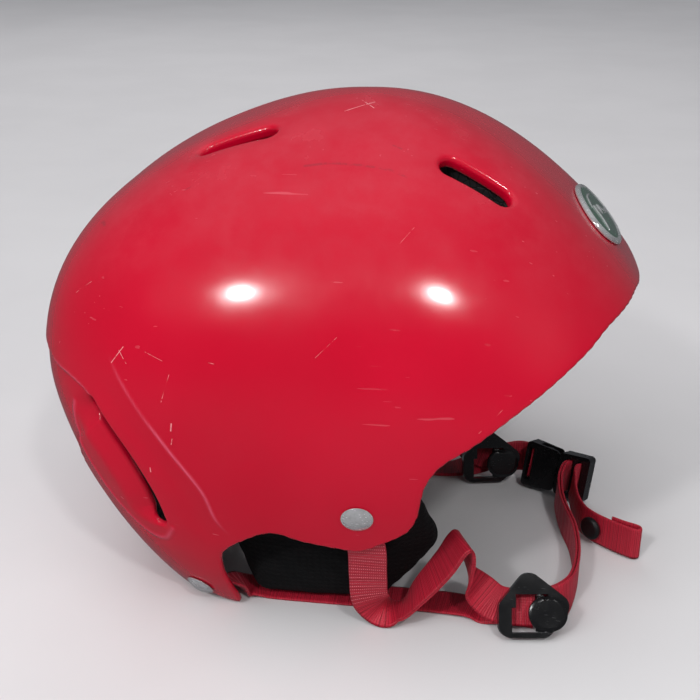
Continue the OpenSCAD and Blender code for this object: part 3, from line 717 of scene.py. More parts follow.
def web_material(name, dots=False):
    """Nylon webbing: transverse ribs, long yarns and, where stitched, rows of pale thread. Reads the strip's own map: x along, y across, in metres."""
    k = Mat(name)
    b = k.b
    uv = k.n("ShaderNodeUVMap", uv_map="web").outputs[0]
    sp = k.n("ShaderNodeSeparateXYZ")
    k.link(uv, sp.inputs[0])
    s, w = sp.outputs[0], sp.outputs[1]
    jit = k.math("MULTIPLY", k.math("SUBTRACT", k.noise(260, 2, 0.6), 0.5), 0.0005)
    ribs = k.math("SINE", k.math("MULTIPLY", k.math("ADD", s, jit), 2 * math.pi / 0.0008))
    yarn = k.math("SINE", k.math("MULTIPLY", w, 2 * math.pi / 0.0011))
    hgt = k.math("MULTIPLY_ADD", ribs, 0.5, k.math("MULTIPLY", yarn, 0.22))
    # streaks: each pick a little lighter or darker than the next
    comb = k.n("ShaderNodeCombineXYZ")
    k.link(s, comb.inputs[0])
    streak = k.noise(1300, 1, 0.5, comb.outputs[0])
    base = k.mix(k.ramp(streak, 0.3, 0.7), (0.20, 0.0025, 0.010), (0.44, 0.010, 0.030))
    # painted highlight: the rib crests are coloured lighter than the hollows between them
    base = k.mix(k.math("MULTIPLY", k.ramp(ribs, -1, 1), 0.35), base, (0.58, 0.03, 0.06))
    base = k.mix(k.math("MULTIPLY", k.ramp(k.noise(60, 3, 0.6), 0.5, 0.8), 0.25), base, (0.20, 0.004, 0.01))
    if dots:
        at = k.n("ShaderNodeAttribute", attribute_name="stitch", attribute_type="GEOMETRY")
        r1 = k.ramp(k.math("SINE", k.math("MULTIPLY", s, 2 * math.pi / 0.00185)), 0.62, 0.9)
        r2 = k.ramp(k.math("SINE", k.math("MULTIPLY", w, 2 * math.pi / 0.0008)), -0.1, 0.5)
        dm = k.math("MULTIPLY", k.math("MULTIPLY", r1, r2), at.outputs["Fac"])
        base = k.mix(k.math("MULTIPLY", dm, 0.85), base, (0.82, 0.24, 0.28))
        hgt = k.math("ADD", hgt, k.math("MULTIPLY", dm, 1.2))
    k.link(base, b.inputs["Base Color"])
    b.inputs["Roughness"].default_value = 0.5
    b.inputs["Specular IOR Level"].default_value = 0.4
    b.inputs["Sheen Weight"].default_value = 0.12
    b.inputs["Sheen Roughness"].default_value = 0.35
    b.inputs["Sheen Tint"].default_value = (1, 0.35, 0.4, 1)
    k.link(k.bump(hgt, 0.55, 0.00022), b.inputs["Normal"])
    return k.m


def metal_material(name, col=(0.82, 0.82, 0.83), rough=0.12):
    k = Mat(name)
    b = k.b
    b.inputs["Metallic"].default_value = 0.72
    c = k.mix(k.ramp(k.noise(400, 4, 0.7), 0.4, 0.8), col, tuple(x * 0.72 for x in col))
    k.link(c, b.inputs["Base Color"])
    sc = k.ramp(k.noise(1.0, 1, 0.5, k.mapping((0.4, 0.9, 0.2), (60, 2600, 2600))), 0.66, 0.7)
    k.link(k.math("ADD", k.ramp(k.noise(250, 3, 0.6), 0.3, 0.7, rough * 0.6, rough * 1.9), k.math("MULTIPLY", sc, 0.15)), b.inputs["Roughness"])
    k.link(k.bump(k.noise(500, 2, 0.5), 0.06, 0.0002), b.inputs["Normal"])
    return k.m


def plastic_material(name, rough=0.28, col=(0.0045, 0.0045, 0.005)):
    k = Mat(name)
    b = k.b
    pale_mask = k.ramp(k.noise(120, 4, 0.65), 0.55, 0.8)
    c = k.mix(k.math("MULTIPLY", pale_mask, 0.4), col, tuple(x * 2.4 + 0.002 for x in col))
    sc = k.ramp(k.noise(1.0, 1, 0.5, k.mapping((0.9, 0.3, 1.2), (60, 2600, 2600))), 0.7, 0.73)
    c = k.mix(k.math("MULTIPLY", sc, 0.12), c, (0.06, 0.06, 0.06))
    k.link(c, b.inputs["Base Color"])
    r = k.math("ADD", k.ramp(k.noise(90, 3, 0.6), 0.3, 0.7, rough * 0.8, rough * 1.3), k.math("MULTIPLY", sc, 0.2))
    k.link(r, b.inputs["Roughness"])
    k.link(k.bump(k.noise(1600, 3, 0.7), 0.10, 0.00012), b.inputs["Normal"])
    return k.m


M_SHELL = shell_material()
M_FOAM = foam_material()
M_EAR = fabric_material("ear_fabric", (0.0016, 0.0016, 0.0018), (0.0045, 0.0045, 0.005), sheen=0.02)
M_COMFORT = fabric_material("comfort_fabric", (0.006, 0.006, 0.007), (0.02, 0.02, 0.022), sheen=0.15)
M_WEB = web_material("shell_webbing", True)
M_WEB2 = web_material("chin_webbing", False)
M_RIVET = metal_material("rivet_steel")
M_BEZEL = metal_material("badge_chrome", (0.74, 0.76, 0.76), 0.12)
M_PIN = metal_material("pin_steel", (0.55, 0.55, 0.56), 0.3)
M_DIV = plastic_material("divider_plastic", 0.2)
M_BUCKLE = plastic_material("buckle_plastic", 0.24)
M_BUTTON = plastic_material("button_plastic", 0.45)


def badge_material():
    k = Mat("badge_face")
    b = k.b
    c = k.mix(k.ramp(k.noise(220, 4, 0.65), 0.3, 0.75), (0.010, 0.075, 0.035), (0.025, 0.13, 0.06))
    k.link(c, b.inputs["Base Color"])
    k.link(k.ramp(k.noise(160, 3, 0.6), 0.3, 0.7, 0.12, 0.24), b.inputs["Roughness"])
    b.inputs["Coat Weight"].default_value = 0.8
    b.inputs["Coat Roughness"].default_value = 0.06
    k.link(k.bump(k.noise(700, 2, 0.5), 0.08, 0.0002), b.inputs["Normal"])
    return k.m


M_BADGE = badge_material()

# ------------------------------------------------------------------ outer shell
AP, TR = shell_domain(9.0, GAP_W)
fld = Field(AP)
H = fld.height()
t_out = -H + fillet(fld.rim, 1.15) + fillet(fld.slot, 2.1) + fillet(fld.gap, 1.3)
flange = 2.9 * (1 - sstep(1.3, 2.3, fld.slot))
t_in = 2.4 + np.maximum(-H, 0) * (1 - sstep(4.0, 2.0, fld.slot) * 0.8) + flange - fillet(fld.rim, 1.0) - fillet(fld.slot, 0.7)
shell = wall_mesh("shell", AP, TR, t_out, t_in, 2, M_SHELL)
# weight of the painted highlight along the crease, the step line and the ring lip
pale_mask = 0.9 * np.exp(-(fld.u / 0.55) ** 2) * sstep(0.02, 0.25, fld.cs) * (1 - sstep(0.75, 0.97, fld.cs)) * (fld.w < 1)
pale_mask = np.maximum(pale_mask, 0.7 * np.exp(-((fld.v + 0.3) / 0.5) ** 2) * (fld.a < -132) * (fld.p < 100))
pale_mask = np.maximum(pale_mask, 0.6 * np.exp(-(fld.ring / 0.8) ** 2))
att = shell.data.attributes.new("pale_mask", "FLOAT", "POINT")
att.data.foreach_set("value", np.concatenate([pale_mask, np.zeros(len(shell.data.vertices) - len(pale_mask))]).astype(float))
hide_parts("outer_shell")
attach(shell, "helmet")


# ------------------------------------------------------------------ foam liner
def liner_domain():
    ring = edge_ring(12)
    a = np.abs(((ring[:, 0] + 180) % 360) - 180)
    lim = np.where(a < 50, 74, np.where(a < 112, 96, np.where(a < 133, 96 + 6 * (a - 112) / 21, np.where(a < 137, 102 + 31 * (a - 133) / 4, 133))))
    P = np.stack([ring[:, 0], np.minimum(ring[:, 1] - 2.5, lim)], -1)
    q = resample(P, 2.6, True)
    loops = [plane(q)]
    for path, w in ((FRONT_SLOT, 14.6), (REAR_SLOT, 14.6)):
        o = obround(path, w)
        loops.append(plane(resample(o, 1.6, True)))
        loops.append(plane(resample(flip(o)[::-1], 1.6, True)))
    pts, segs = [], []
    for l in loops:
        i0 = len(pts)
        pts.extend(map(tuple, l))
        segs.extend((i0 + k, i0 + (k + 1) % len(l)) for k in range(len(l)))
    cand = [(0.0, 0.01)]
    p = 0.0
    while p < 140:
        r = float(reach(dirs(-90.0, max(p, 1.0))))
        p += 2.8 / (r * D2R)
        n = max(6, int(2 * math.pi * r * math.sin(min(p, 179) * D2R) / 2.8))
        cand += [((k + (p * 7.31) % 1) * 360.0 / n - 180, p) for k in range(n)]
    cand = np.array(cand)
    X = surf(cand[:, 0], cand[:, 1])
    B = np.vstack([surf(*unplane(l)) for l in loops])
    ext = []
    for l in loops:
        Xb = surf(*unplane(l))
        N = surf_n(*unplane(l))
        T = np.roll(Xb, -1, 0) - np.roll(Xb, 1, 0)
        T /= np.linalg.norm(T, axis=1, keepdims=True)
        S = np.cross(N, T)
        for off in (1.0, 2.2, 3.6):
            ext += [to_chart(Xb + S * off), to_chart(Xb - S * off)]
    cand = np.vstack([cand[nearest(X, B)[0] > 4.2], np.vstack(ext)])
    q = plane(cand)
    ins = in_poly(q, loops[0])
    for l in loops[1:]:
        ins &= ~in_poly(q, l)
    cand = cand[ins]
    d = nearest(surf(cand[:, 0], cand[:, 1]), B)[0]
    cand = cand[d > 0.7]
    allp = np.vstack([np.array(pts), plane(cand)])
    o = delaunay_2d_cdt([Vector(v) for v in allp], segs, [], 0, 1e-7)
    V = np.array([tuple(v) for v in o[0]])
    T = np.array(o[2])
    c = V[T].mean(1)
    k = in_poly(c, loops[0])
    for l in loops[1:]:
        k &= ~in_poly(c, l)
    T = T[k]
    e1, e2 = V[T[:, 1]] - V[T[:, 0]], V[T[:, 2]] - V[T[:, 0]]
    bad = (e1[:, 0] * e2[:, 1] - e1[:, 1] * e2[:, 0]) < 0
    T[bad] = T[bad][:, ::-1]
    return np.stack(unplane(V), -1), T, B


LA, LT, LB = liner_domain()
lf = Field(LA)
dist = nearest(surf(LA[:, 0], LA[:, 1]), LB)[0]
lh = np.maximum(-lf.height(), 0)
lt_out = 3.5 + lh + fillet(dist, 2.6)
lt_in = 24.4 - fillet(dist, 3.4)
lt_in = np.maximum(lt_in, lt_out + 8)
liner = wall_mesh("liner", LA, LT, lt_out, lt_in, 4, M_FOAM)
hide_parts("foam_liner")
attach(liner, "helmet")


# ------------------------------------------------------------------ hard fittings from the CAD nodes
def polish(node, width, name, mat, body, seg=3, angle=32, subd=0):
    """The CAD node's mesh with its flat faces merged and every hard edge rounded."""
    import bmesh
    me = nodes[node].data.copy()
    me.materials.clear()
    bm = bmesh.new()
    bm.from_mesh(me)
    bmesh.ops.remove_doubles(bm, verts=bm.verts, dist=2e-6)
    bmesh.ops.dissolve_limit(bm, angle_limit=1.2 * D2R, verts=bm.verts, edges=bm.edges)
    bm.to_mesh(me)
    bm.free()
    for a in [a for a in me.attributes if a.name == "custom_normal"]:
        me.attributes.remove(a)
    ob = bpy.data.objects.new(name, me)
    scene.collection.objects.link(ob)
    me.materials.append(mat)
    me.shade_smooth()
    bv = ob.modifiers.new("round", "BEVEL")
    bv.width = width * MM
    bv.segments = seg
    bv.limit_method = "ANGLE"
    bv.angle_limit = angle * D2R
    bv.use_clamp_overlap = True
    bv.harden_normals = False
    bv.miter_outer = "MITER_ARC"
    wn = ob.modifiers.new("wn", "WEIGHTED_NORMAL")
    wn.keep_sharp = True
    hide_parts(node)
    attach(ob, body)
    return ob


for side, bl in (("right", "lever_r"), ("left", "lever_l")):
    polish("divider_" + side, 0.9, "divider_body_" + side, M_DIV, "helmet", 4)
    polish("divider_lever_" + side, 0.7, "cam_lever_" + side, M_DIV, bl, 4)
    polish("lever_pin_" + side, 0.15, "cam_pin_" + side, M_PIN, "helmet", 2)
polish("buckle_socket", 0.7, "socket", M_BUCKLE, "helmet", 4)
polish("buckle_plug", 0.6, "plug_body", M_BUCKLE, "plug", 4)
polish("tail_button", 0.5, "button", M_BUTTON, "plug", 3)
polish("ear_pad_snaps", 0.3, "pad_snaps", M_RIVET, "helmet", 2)
polish("rivet_washers", 0.15, "washers", M_RIVET, "helmet", 2)


def rivet(node, at, mirror):
    """Turned rivet: polished dome, rolled rim and shank."""
    a, p = at
    c = surf(np.array([a]), np.array([p]))[0]
    n = surf_n(np.array([a]), np.array([p]))[0]
    if mirror:
        c, n = c * [1, -1, 1], n * [1, -1, 1]
    prof = [(0, 2.5)]
    for k in range(1, 17):
        r = 5.75 * k / 16
        prof.append((r, -8.1 + math.sqrt(10.6 ** 2 - r * r)))
    z0 = prof[-1][1]
    for k in range(1, 9):
        g = math.pi * k / 8
        prof.append((5.75 + 0.42 * math.sin(g), 0.3 + (z0 - 0.3) * (0.5 + 0.5 * math.cos(g))))
    prof += [(1.8, 0.3), (1.8, -7.4), (1.5, -7.6), (0, -7.6)]
    e1 = np.cross(n, [0, 0, 1.0])
    e1 /= np.linalg.norm(e1)
    e2 = np.cross(n, e1)
    m = 72
    V = [c + n * prof[0][1]]
    for r, z in prof[1:-1]:
        for j in range(m):
            t = 2 * math.pi * j / m
            V.append(c + n * z + (e1 * math.cos(t) + e2 * math.sin(t)) * r)
    V.append(c + n * prof[-1][1])
    fs = []
    L = len(prof) - 2
    for j in range(m):
        fs.append((0, 1 + j, 1 + (j + 1) % m))
        for i in range(L - 1):
            fs.append((1 + i * m + j, 1 + (i + 1) * m + j, 1 + (i + 1) * m + (j + 1) % m, 1 + i * m + (j + 1) % m))
        fs.append((1 + (L - 1) * m + j, len(V) - 1, 1 + (L - 1) * m + (j + 1) % m))
    ob = make_mesh("dome_" + node, np.array(V), fs, mat=M_RIVET)
    import bmesh
    bm = bmesh.new()
    bm.from_mesh(ob.data)
    bmesh.ops.recalc_face_normals(bm, faces=bm.faces)
    bm.to_mesh(ob.data)
    bm.free()
    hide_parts(node)
    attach(ob, "helmet")


for side, mir in (("right", False), ("left", True)):
    rivet("ear_rivet_" + side, (-83.5, 109), mir)
    rivet("rear_rivet_" + side, (-128.5, 134.5), mir)

# ------------------------------------------------------------------ badge
BP = 60.0
BR = float(reach(dirs(0.0, BP)))


def badge_xy(x, y, t):
    """Point at x mm across and y mm down the badge, lifted t mm off the shell."""
    a = x / (BR * math.sin(BP * D2R)) / D2R
    p = BP + y / BR / D2R
    X = surf(a, p)
    return X + surf_n(a, p) * np.asarray(t)[..., None]


def oval_solid(name, prof, mat, node, m=120, L=50.0, Hh=27.0):
    """Solid of oval rings: prof is a list of (inset from the edge in mm, lift), from the top's middle to the bottom's middle."""
    V, fs = [], []
    th = 2 * math.pi * np.arange(m) / m
    for ins, t in prof:
        k = max(0.0, 1.0)
        V.append(badge_xy((L / 2 - ins) * np.cos(th), (Hh / 2 - ins) * np.sin(th), np.full(m, t)))
    V = np.vstack(V)
    n = len(prof)
    for i in range(n - 1):
        for j in range(m):
            fs.append((i * m + j, i * m + (j + 1) % m, (i + 1) * m + (j + 1) % m, (i + 1) * m + j))
    top = len(V)
    V = np.vstack([V, badge_xy(np.array([0.0]), np.array([0.0]), np.array([prof[0][1]])), badge_xy(np.array([0.0]), np.array([0.0]), np.array([prof[-1][1]]))])
    # innermost rings are bridged to the middle through two more rings, so the cap follows the shell
    for ring, centre, flipf in ((0, top, False), ((n - 1), top + 1, True)):
        prev = [ring * m + j for j in range(m)]
        ins, t = prof[0] if ring == 0 else prof[-1]
        for f in (0.75, 0.5, 0.25):
            b0 = len(V)
            V = np.vstack([V, badge_xy((L / 2 - ins) * f * np.cos(th), (Hh / 2 - ins) * f * np.sin(th), np.full(m, t))])
            cur = [b0 + j for j in range(m)]
            for j in range(m):
                q = (prev[j], prev[(j + 1) % m], cur[(j + 1) % m], cur[j])
                fs.append(q[::-1] if not flipf else q)
            prev = cur
        for j in range(m):
            q = (prev[j], prev[(j + 1) % m], centre)
            fs.append(q)
    ob = make_mesh(name, V, fs, mat=mat)
    import bmesh
    bm = bmesh.new()
    bm.from_mesh(ob.data)
    bmesh.ops.recalc_face_normals(bm, faces=bm.faces)
    bm.to_mesh(ob.data)
    bm.free()
    if node:
        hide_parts(node)
    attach(ob, "helmet")
    return ob


oval_solid("bezel", [(2.4, 1.5), (2.0, 2.1), (1.6, 2.3), (1.1, 2.25), (0.6, 1.95), (0.2, 1.4), (0, 0.8), (0, 0.3), (1.0, 0.25)], M_BEZEL, "badge_bezel")
oval_solid("badge_plate", [(3.3, 2.05), (2.8, 2.0), (2.4, 1.85), (2.3, 1.6), (2.7, 1.45)], M_BADGE, "front_badge")


def badge_stroke(name, pts, w, lift):
    """Raised rounded bar along pts (badge mm)."""
    P = catmull(pts, 8)
    T = np.gradient(P, axis=0)
    T /= np.linalg.norm(T, axis=1, keepdims=True)
    B = np.stack([-T[:, 1], T[:, 0]], -1)
    V, fs = [], []
    sec = [(-1, 0.0), (-0.85, 0.75), (-0.45, 1.0), (0, 1.08), (0.45, 1.0), (0.85, 0.75), (1, 0.0)]
    n = len(P)
    taper = np.minimum(1, np.minimum(np.arange(n), np.arange(n)[::-1]) / 6.0 + 0.25)
    for i in range(n):
        for s, z in sec:
            q = P[i] + B[i] * s * w / 2 * taper[i]
            V.append(badge_xy(np.array([q[0]]), np.array([q[1]]), np.array([1.95 + lift * z * (0.5 + 0.5 * taper[i])]))[0])
    m = len(sec)
    for i in range(n - 1):
        for k in range(m):
            a, b = i * m + k, i * m + (k + 1) % m
            fs.append((a, b, b + m, a + m))
    fs.append(tuple(range(m))[::-1])
    fs.append(tuple((n - 1) * m + k for k in range(m)))
    ob = make_mesh(name, np.array(V), fs, mat=M_BEZEL)
    import bmesh
    bm = bmesh.new()
    bm.from_mesh(ob.data)
    bmesh.ops.recalc_face_normals(bm, faces=bm.faces)
    bm.to_mesh(ob.data)
    bm.free()
    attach(ob, "helmet")


badge_stroke("badge_ridge", [(-17, 4.5), (-11, 0.5), (-6, -4.5), (-1, 0.8), (3, -1.8), (8, 3.5), (17, 4.8)], 1.6, 0.65)
badge_stroke("badge_arc", [(-11, -5.6), (0, -8.0), (11, -5.6)], 1.1, 0.5)


# ------------------------------------------------------------------ webbing
def unit(v):
    v = np.asarray(v, float)
    return v / np.linalg.norm(v, axis=-1, keepdims=True)


def across(at, run):
    n = surf_n(np.array([at[0]], float), np.array([at[1]], float))[0]
    return unit(np.cross(n, run))


def on(a, p):
    return surf(np.array([a], float), np.array([p], float), 4.3)[0]


def stations(l):
    return [(np.array(c, float), unit(w)) for c, w in l]


FRONT_R = stations([
    [on(-83.3, 104.5), across((-83.3, 104.5), [0, 0, -1])],
    [on(-83.5, 109), across((-83.5, 109), [0, 0, -1])],
    [on(-82.8, 115), across((-82.8, 115), [0, 0, -1])],
    [[14, -90.3, 45], [1, 0, 0]],
    [[14, -84.5, 29], [1, 0.1, -0.1]],
    [[14.5, -79.5, 14.5], [0.95, 0.3, -0.1]],
    [[18.5, -75, 7], [0.8, 0.6, 0.05]],
    [[26.5, -72.5, 4.4], [0.1, 1, 0]],
    [[34, -74, 15.5], [-0.28, 0.95, 0.05]],
    [[40, -74, 24], [-0.42, 0.9, 0.05]],
    [[45.2, -73.6, 32], [-0.47, 0.87, 0.05]],
    [[49.2, -72.8, 39.4], [-0.49, 0.86, 0.05]],
    [[51.8, -71.2, 40.6], [-0.49, 0.86, 0.1]],
    [[53.2, -70, 36], [-0.45, 0.85, 0.22]],
    [[53.6, -68.8, 28], [-0.35, 0.8, 0.46]],
    [[55.6, -68.2, 20.5], [-0.2, 0.68, 0.7]],
    [[60.5, -69, 14.2], [-0.05, 0.58, 0.81]],
    [[68, -70.2, 9.8], [0, 0.545, 0.838]],
    [[83.5, -69.9, 9.6], [-0.07, 0.54, 0.838]]])
REAR_R = stations([
    [on(-132, 132.5), across((-132, 132.5), [17, 10, -9])],
    [on(-128.5, 134.5), across((-128.5, 134.5), [17, 10, -9])],
    [on(-124.5, 136.5), across((-124.5, 136.5), [12, 8, -9])],
    [[-42.5, -61.5, 3.8], [-0.2, -1, 0.22]],
    [[-34.5, -59, 1.6], [0, -1, 0.06]],
    [[-27, -58.5, 0.9], [0, -1, 0]],
    [[5, -58.5, 0.9], [0, -1, 0]],
    [[30, -58.5, 1], [0, -1, 0]],
    [[46, -59.6, 1.5], [0.1, -1, 0.02]],
    [[59.4, -62.4, 2.7], [0.12, -0.98, 0]],
    [[67.5, -66.9, 7.9], [0, -0.6, -0.8]],
    [[82.4, -67.4, 7.6], [0.07, -0.54, -0.838]]])
FRONT_L = FRONT_R[:13] + stations([
    [[53.2, -69, 35], [-0.45, 0.82, 0.32]], [[50.5, -64.5, 26], [-0.4, 0.45, 0.8]], [[49, -60, 18], [-0.25, -0.1, 0.96]],
    [[52.5, -58.4, 13.6], [-0.04, -0.2, 1]], [[60, -57.8, 11], [0, -0.26, 0.97]], [[69, -58.8, 9.8], [-0.05, -0.3, 0.95]]])
REAR_L = REAR_R[:8] + stations([
    [[43, -59, 1.3], [0.05, -1, 0]], [[53, -61.2, 3.4], [0, -0.94, 0.3]],
    [[61, -62, 8.6], [0, -0.4, 0.92]], [[69, -62.4, 8.8], [-0.05, -0.3, 0.95]]])

B_TURN, B_TILT = -29 * D2R, 75 * D2R
BX = np.array([math.cos(B_TURN), math.sin(B_TURN), 0])
BY = np.array([-math.sin(B_TURN) * math.cos(B_TILT), math.cos(B_TURN) * math.cos(B_TILT), math.sin(B_TILT)])
BZ = np.cross(BX, BY)


def at_local(x, y, z):
    return np.array([82.8, 55.9, 11.4]) + x * BX + y * BY + z * BZ


BUCKLE_L = stations([[[71, 59.4, 9.8], [0, 0.3, 0.95]], [[77, 61, 10.4], [0.05, 0.25, 0.96]], [at_local(-0.5, 0, -2.6), BY],
                     [at_local(2.4, 0, -1.6), BY], [at_local(3, 0, 1), BY], [at_local(3, 0, 7), BY]])
CHIN = stations([
    [[85.5, -67.4, 8.8], [-0.07, 0.54, 0.838]],
    [[91.5, -64.5, 8.9], [-0.1, 0.45, 0.88]],
    [[96.6, -56, 8.6], [0, 0.2, 1]],
    [[99.8, -44, 8.4], [0, 0, 1]],
    [[101.5, -29, 8.4], [0, 0, 1]],
    [[100.8, -12, 8.4], [0, 0, 1]],
    [[97.6, 4, 8.6], [0, 0, 1]],
    [[95.8, 16, 9.4], [0, 0, 1]],
    [[95.4, 26, 11.4], [0.05, 0.1, 1]],
    [at_local(23.7, 0, 13), BY],
    [at_local(23.7, 0, 8.6), BY],
    [at_local(23.7, 0, 1), BY]])
TAIL = stations([
    [at_local(29.1, 0, 1), BY],
    [at_local(29.1, 0, 8.6), BY],
    [at_local(29.3, 0, 13), BY],
    [[102.2, 24, 11.8], [0.05, 0.1, 1]],
    [[103.4, 14, 9.8], [0, 0, 1]],
    [[106.3, 5.5, 8.6], [0, 0, 1]],
    [[111, -0.8, 8.4], [0, 0, 1]],
    [[117, -5.8, 8.4], [0, 0, 1]],
    [[123, -10, 8.4], [0, 0, 1]],
    [[128.5, -13, 8.4], [0, 0, 1]],
    [[131, -11.4, 8.4], [0, 0, 1]],
    [[129.6, -8.9, 8.4], [0, 0, 1]],
    [[124, -6.4, 8.4], [0, 0, 1]],
    [[118.5, -3, 8.4], [0, 0, 1]]])


def route(st, step=0.35, n=24):
    """Fine centre line, width direction and face direction of a band."""
    C = catmull([c for c, _ in st], n)
    W = catmull([w for _, w in st], n)
    s = np.concatenate([[0], np.cumsum(np.linalg.norm(np.diff(C, axis=0), axis=1))])
    m = int(s[-1] / step)
    t = np.linspace(0, s[-1], m + 1)
    C = np.stack([np.interp(t, s, C[:, k]) for k in range(3)], -1)
    W = np.stack([np.interp(t, s, W[:, k]) for k in range(3)], -1)
    # light smoothing takes the corners off the turns
    ker = np.ones(9) / 9
    for _ in range(2):
        for A in (C, W):
            for k in range(3):
                pad = np.concatenate([np.full(4, A[0, k]), A[:, k], np.full(4, A[-1, k])])
                sm = np.convolve(pad, ker, "valid")
                A[4:-4, k] = sm[4:-4]
    T = unit(np.gradient(C, axis=0))
    W = unit(W - T * np.einsum("ij,ij->i", T, W)[:, None])
    N = np.cross(T, W)
    return C, T, W, N, t


def band(name, st, node, mat, thick=1.25, width=16.0, mirror=False, plies=1, stitch=None, wander=0.0):
    """Woven strap: rounded selvedges, transverse ribs and a slight ripple, as a closed band (two plies lie face to face)."""
    C, T, W, N, s = route(st)
    m = len(C)
    V, fs, uv, sti = [], [], [], []
    cols = 15
    h = width / 2
    for ply in range(plies):
        tk = thick / plies - (0.12 if plies > 1 else 0)
        mid = 0 if plies == 1 else (-1 if ply == 0 else 1) * (thick / 4 + 0.08)
        base = len(V)
        sec, secw = [], []
        for k in range(cols):
            x = -1 + 2 * k / (cols - 1)
            sec.append((x * (h - tk * 0.5), 1))
        for k in range(1, 4):
            a = math.pi / 2 - math.pi * k / 4
            sec.append(((h - tk * 0.5) + tk * 0.5 * math.cos(a), math.sin(a)))
        for k in range(cols):
            x = 1 - 2 * k / (cols - 1)
            sec.append((x * (h - tk * 0.5), -1))
        for k in range(1, 4):
            a = -math.pi / 2 - math.pi * k / 4
            sec.append((-(h - tk * 0.5) - tk * 0.5 * -math.cos(a) * -1, math.sin(a)))
        sec = np.array(sec)
        q = len(sec)
        rib = 0.055 * np.sin(2 * math.pi * s / 1.4) + 0.03 * np.sin(2 * math.pi * s / 0.93 + 1)
        ripple = 0.10 * np.sin(2 * math.pi * s / 31.0 + 1.3 * ply)
        xs = sec[:, 0]
        inner = np.clip((h - np.abs(xs)) / 1.6, 0, 1)
        sel = 0.10 * np.exp(-((h - 1.3 - np.abs(xs)) / 0.55) ** 2)
        for i in range(m):
            z = mid + sec[:, 1] * (tk / 2 - 0.06 + rib[i] * inner + sel) + ripple[i] * 0.4 * np.cos(xs / h * 1.4)
            x = xs * (1 + 0.004 * math.sin(s[i] / 9.0 + ply))
            V.extend(C[i] + W[i] * x[:, None] + N[i] * z[:, None])
            uv.extend((s[i] * MM, v * MM) for v in xs)
            f = 0.0
            if stitch is not None:
                f = float(sstep(stitch[0], stitch[0] + 0.4, s[i]) * (1 - sstep(stitch[1] - 0.4, stitch[1], s[i])))
            sti.extend([f] * q)
        for i in range(m - 1):
            for k in range(q):
                a, b = base + i * q + k, base + i * q + (k + 1) % q
                fs.append((a, a + q, b + q, b))
        fs.append(tuple(base + k for k in range(q)))
        fs.append(tuple(base + (m - 1) * q + k for k in range(q))[::-1])
    V = np.array(V)
    V[:, 2] = np.maximum(V[:, 2], 0.05)
    if mirror:
        V = V * [1, -1, 1]
        fs = [f[::-1] for f in fs]
    ob = make_mesh(name, V, fs, mat=mat)
    me = ob.data
    lay = me.uv_layers.new(name="web")
    uv = np.array(uv)
    li = np.empty(len(me.loops), int)
    me.loops.foreach_get("vertex_index", li)
    lay.data.foreach_set("uv", uv[li].ravel())
    at = me.attributes.new("stitch", "FLOAT", "POINT")
    at.data.foreach_set("value", np.array(sti, float))
    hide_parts(node)
    length = float(np.linalg.norm(np.diff(C, axis=0), axis=1).sum())
    return ob, length


def drop_seen(st, k):
    return st[k:]


for side, mir in (("right", False), ("left", True)):
    fr = FRONT_R if side == "right" else FRONT_L
    rr = REAR_R if side == "right" else REAR_L
    ob, L = band("front_web_" + side, fr, "front_strap_" + side, M_WEB, 1.25, mirror=mir, stitch=(4, 66))
    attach(ob, "helmet")
    ob, L2 = band("rear_web_" + side, rr, "rear_strap_" + side, M_WEB, 1.25, mirror=mir, stitch=(0, 30))
    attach(ob, "helmet")
    print("webbing", side, round(L, 1), round(L2, 1))
ob, L = band("buckle_web", BUCKLE_L, "buckle_strap_left", M_WEB2, 1.25)
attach(ob, "helmet")
chin, LC = band("chin_web", CHIN, "chin_strap", M_WEB2, 2.5, plies=2)
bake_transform(chin, "helmet", "plug", (0.0965, -0.056, 0.0086), (0.0954, 0.026, 0.0114))
tail, LT2 = band("tail_web", TAIL, "strap_tail", M_WEB2, 1.25)
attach(tail, "plug")
print("webbing chin", round(LC, 1), "tail", round(LT2, 1), "buckle", round(L, 1))

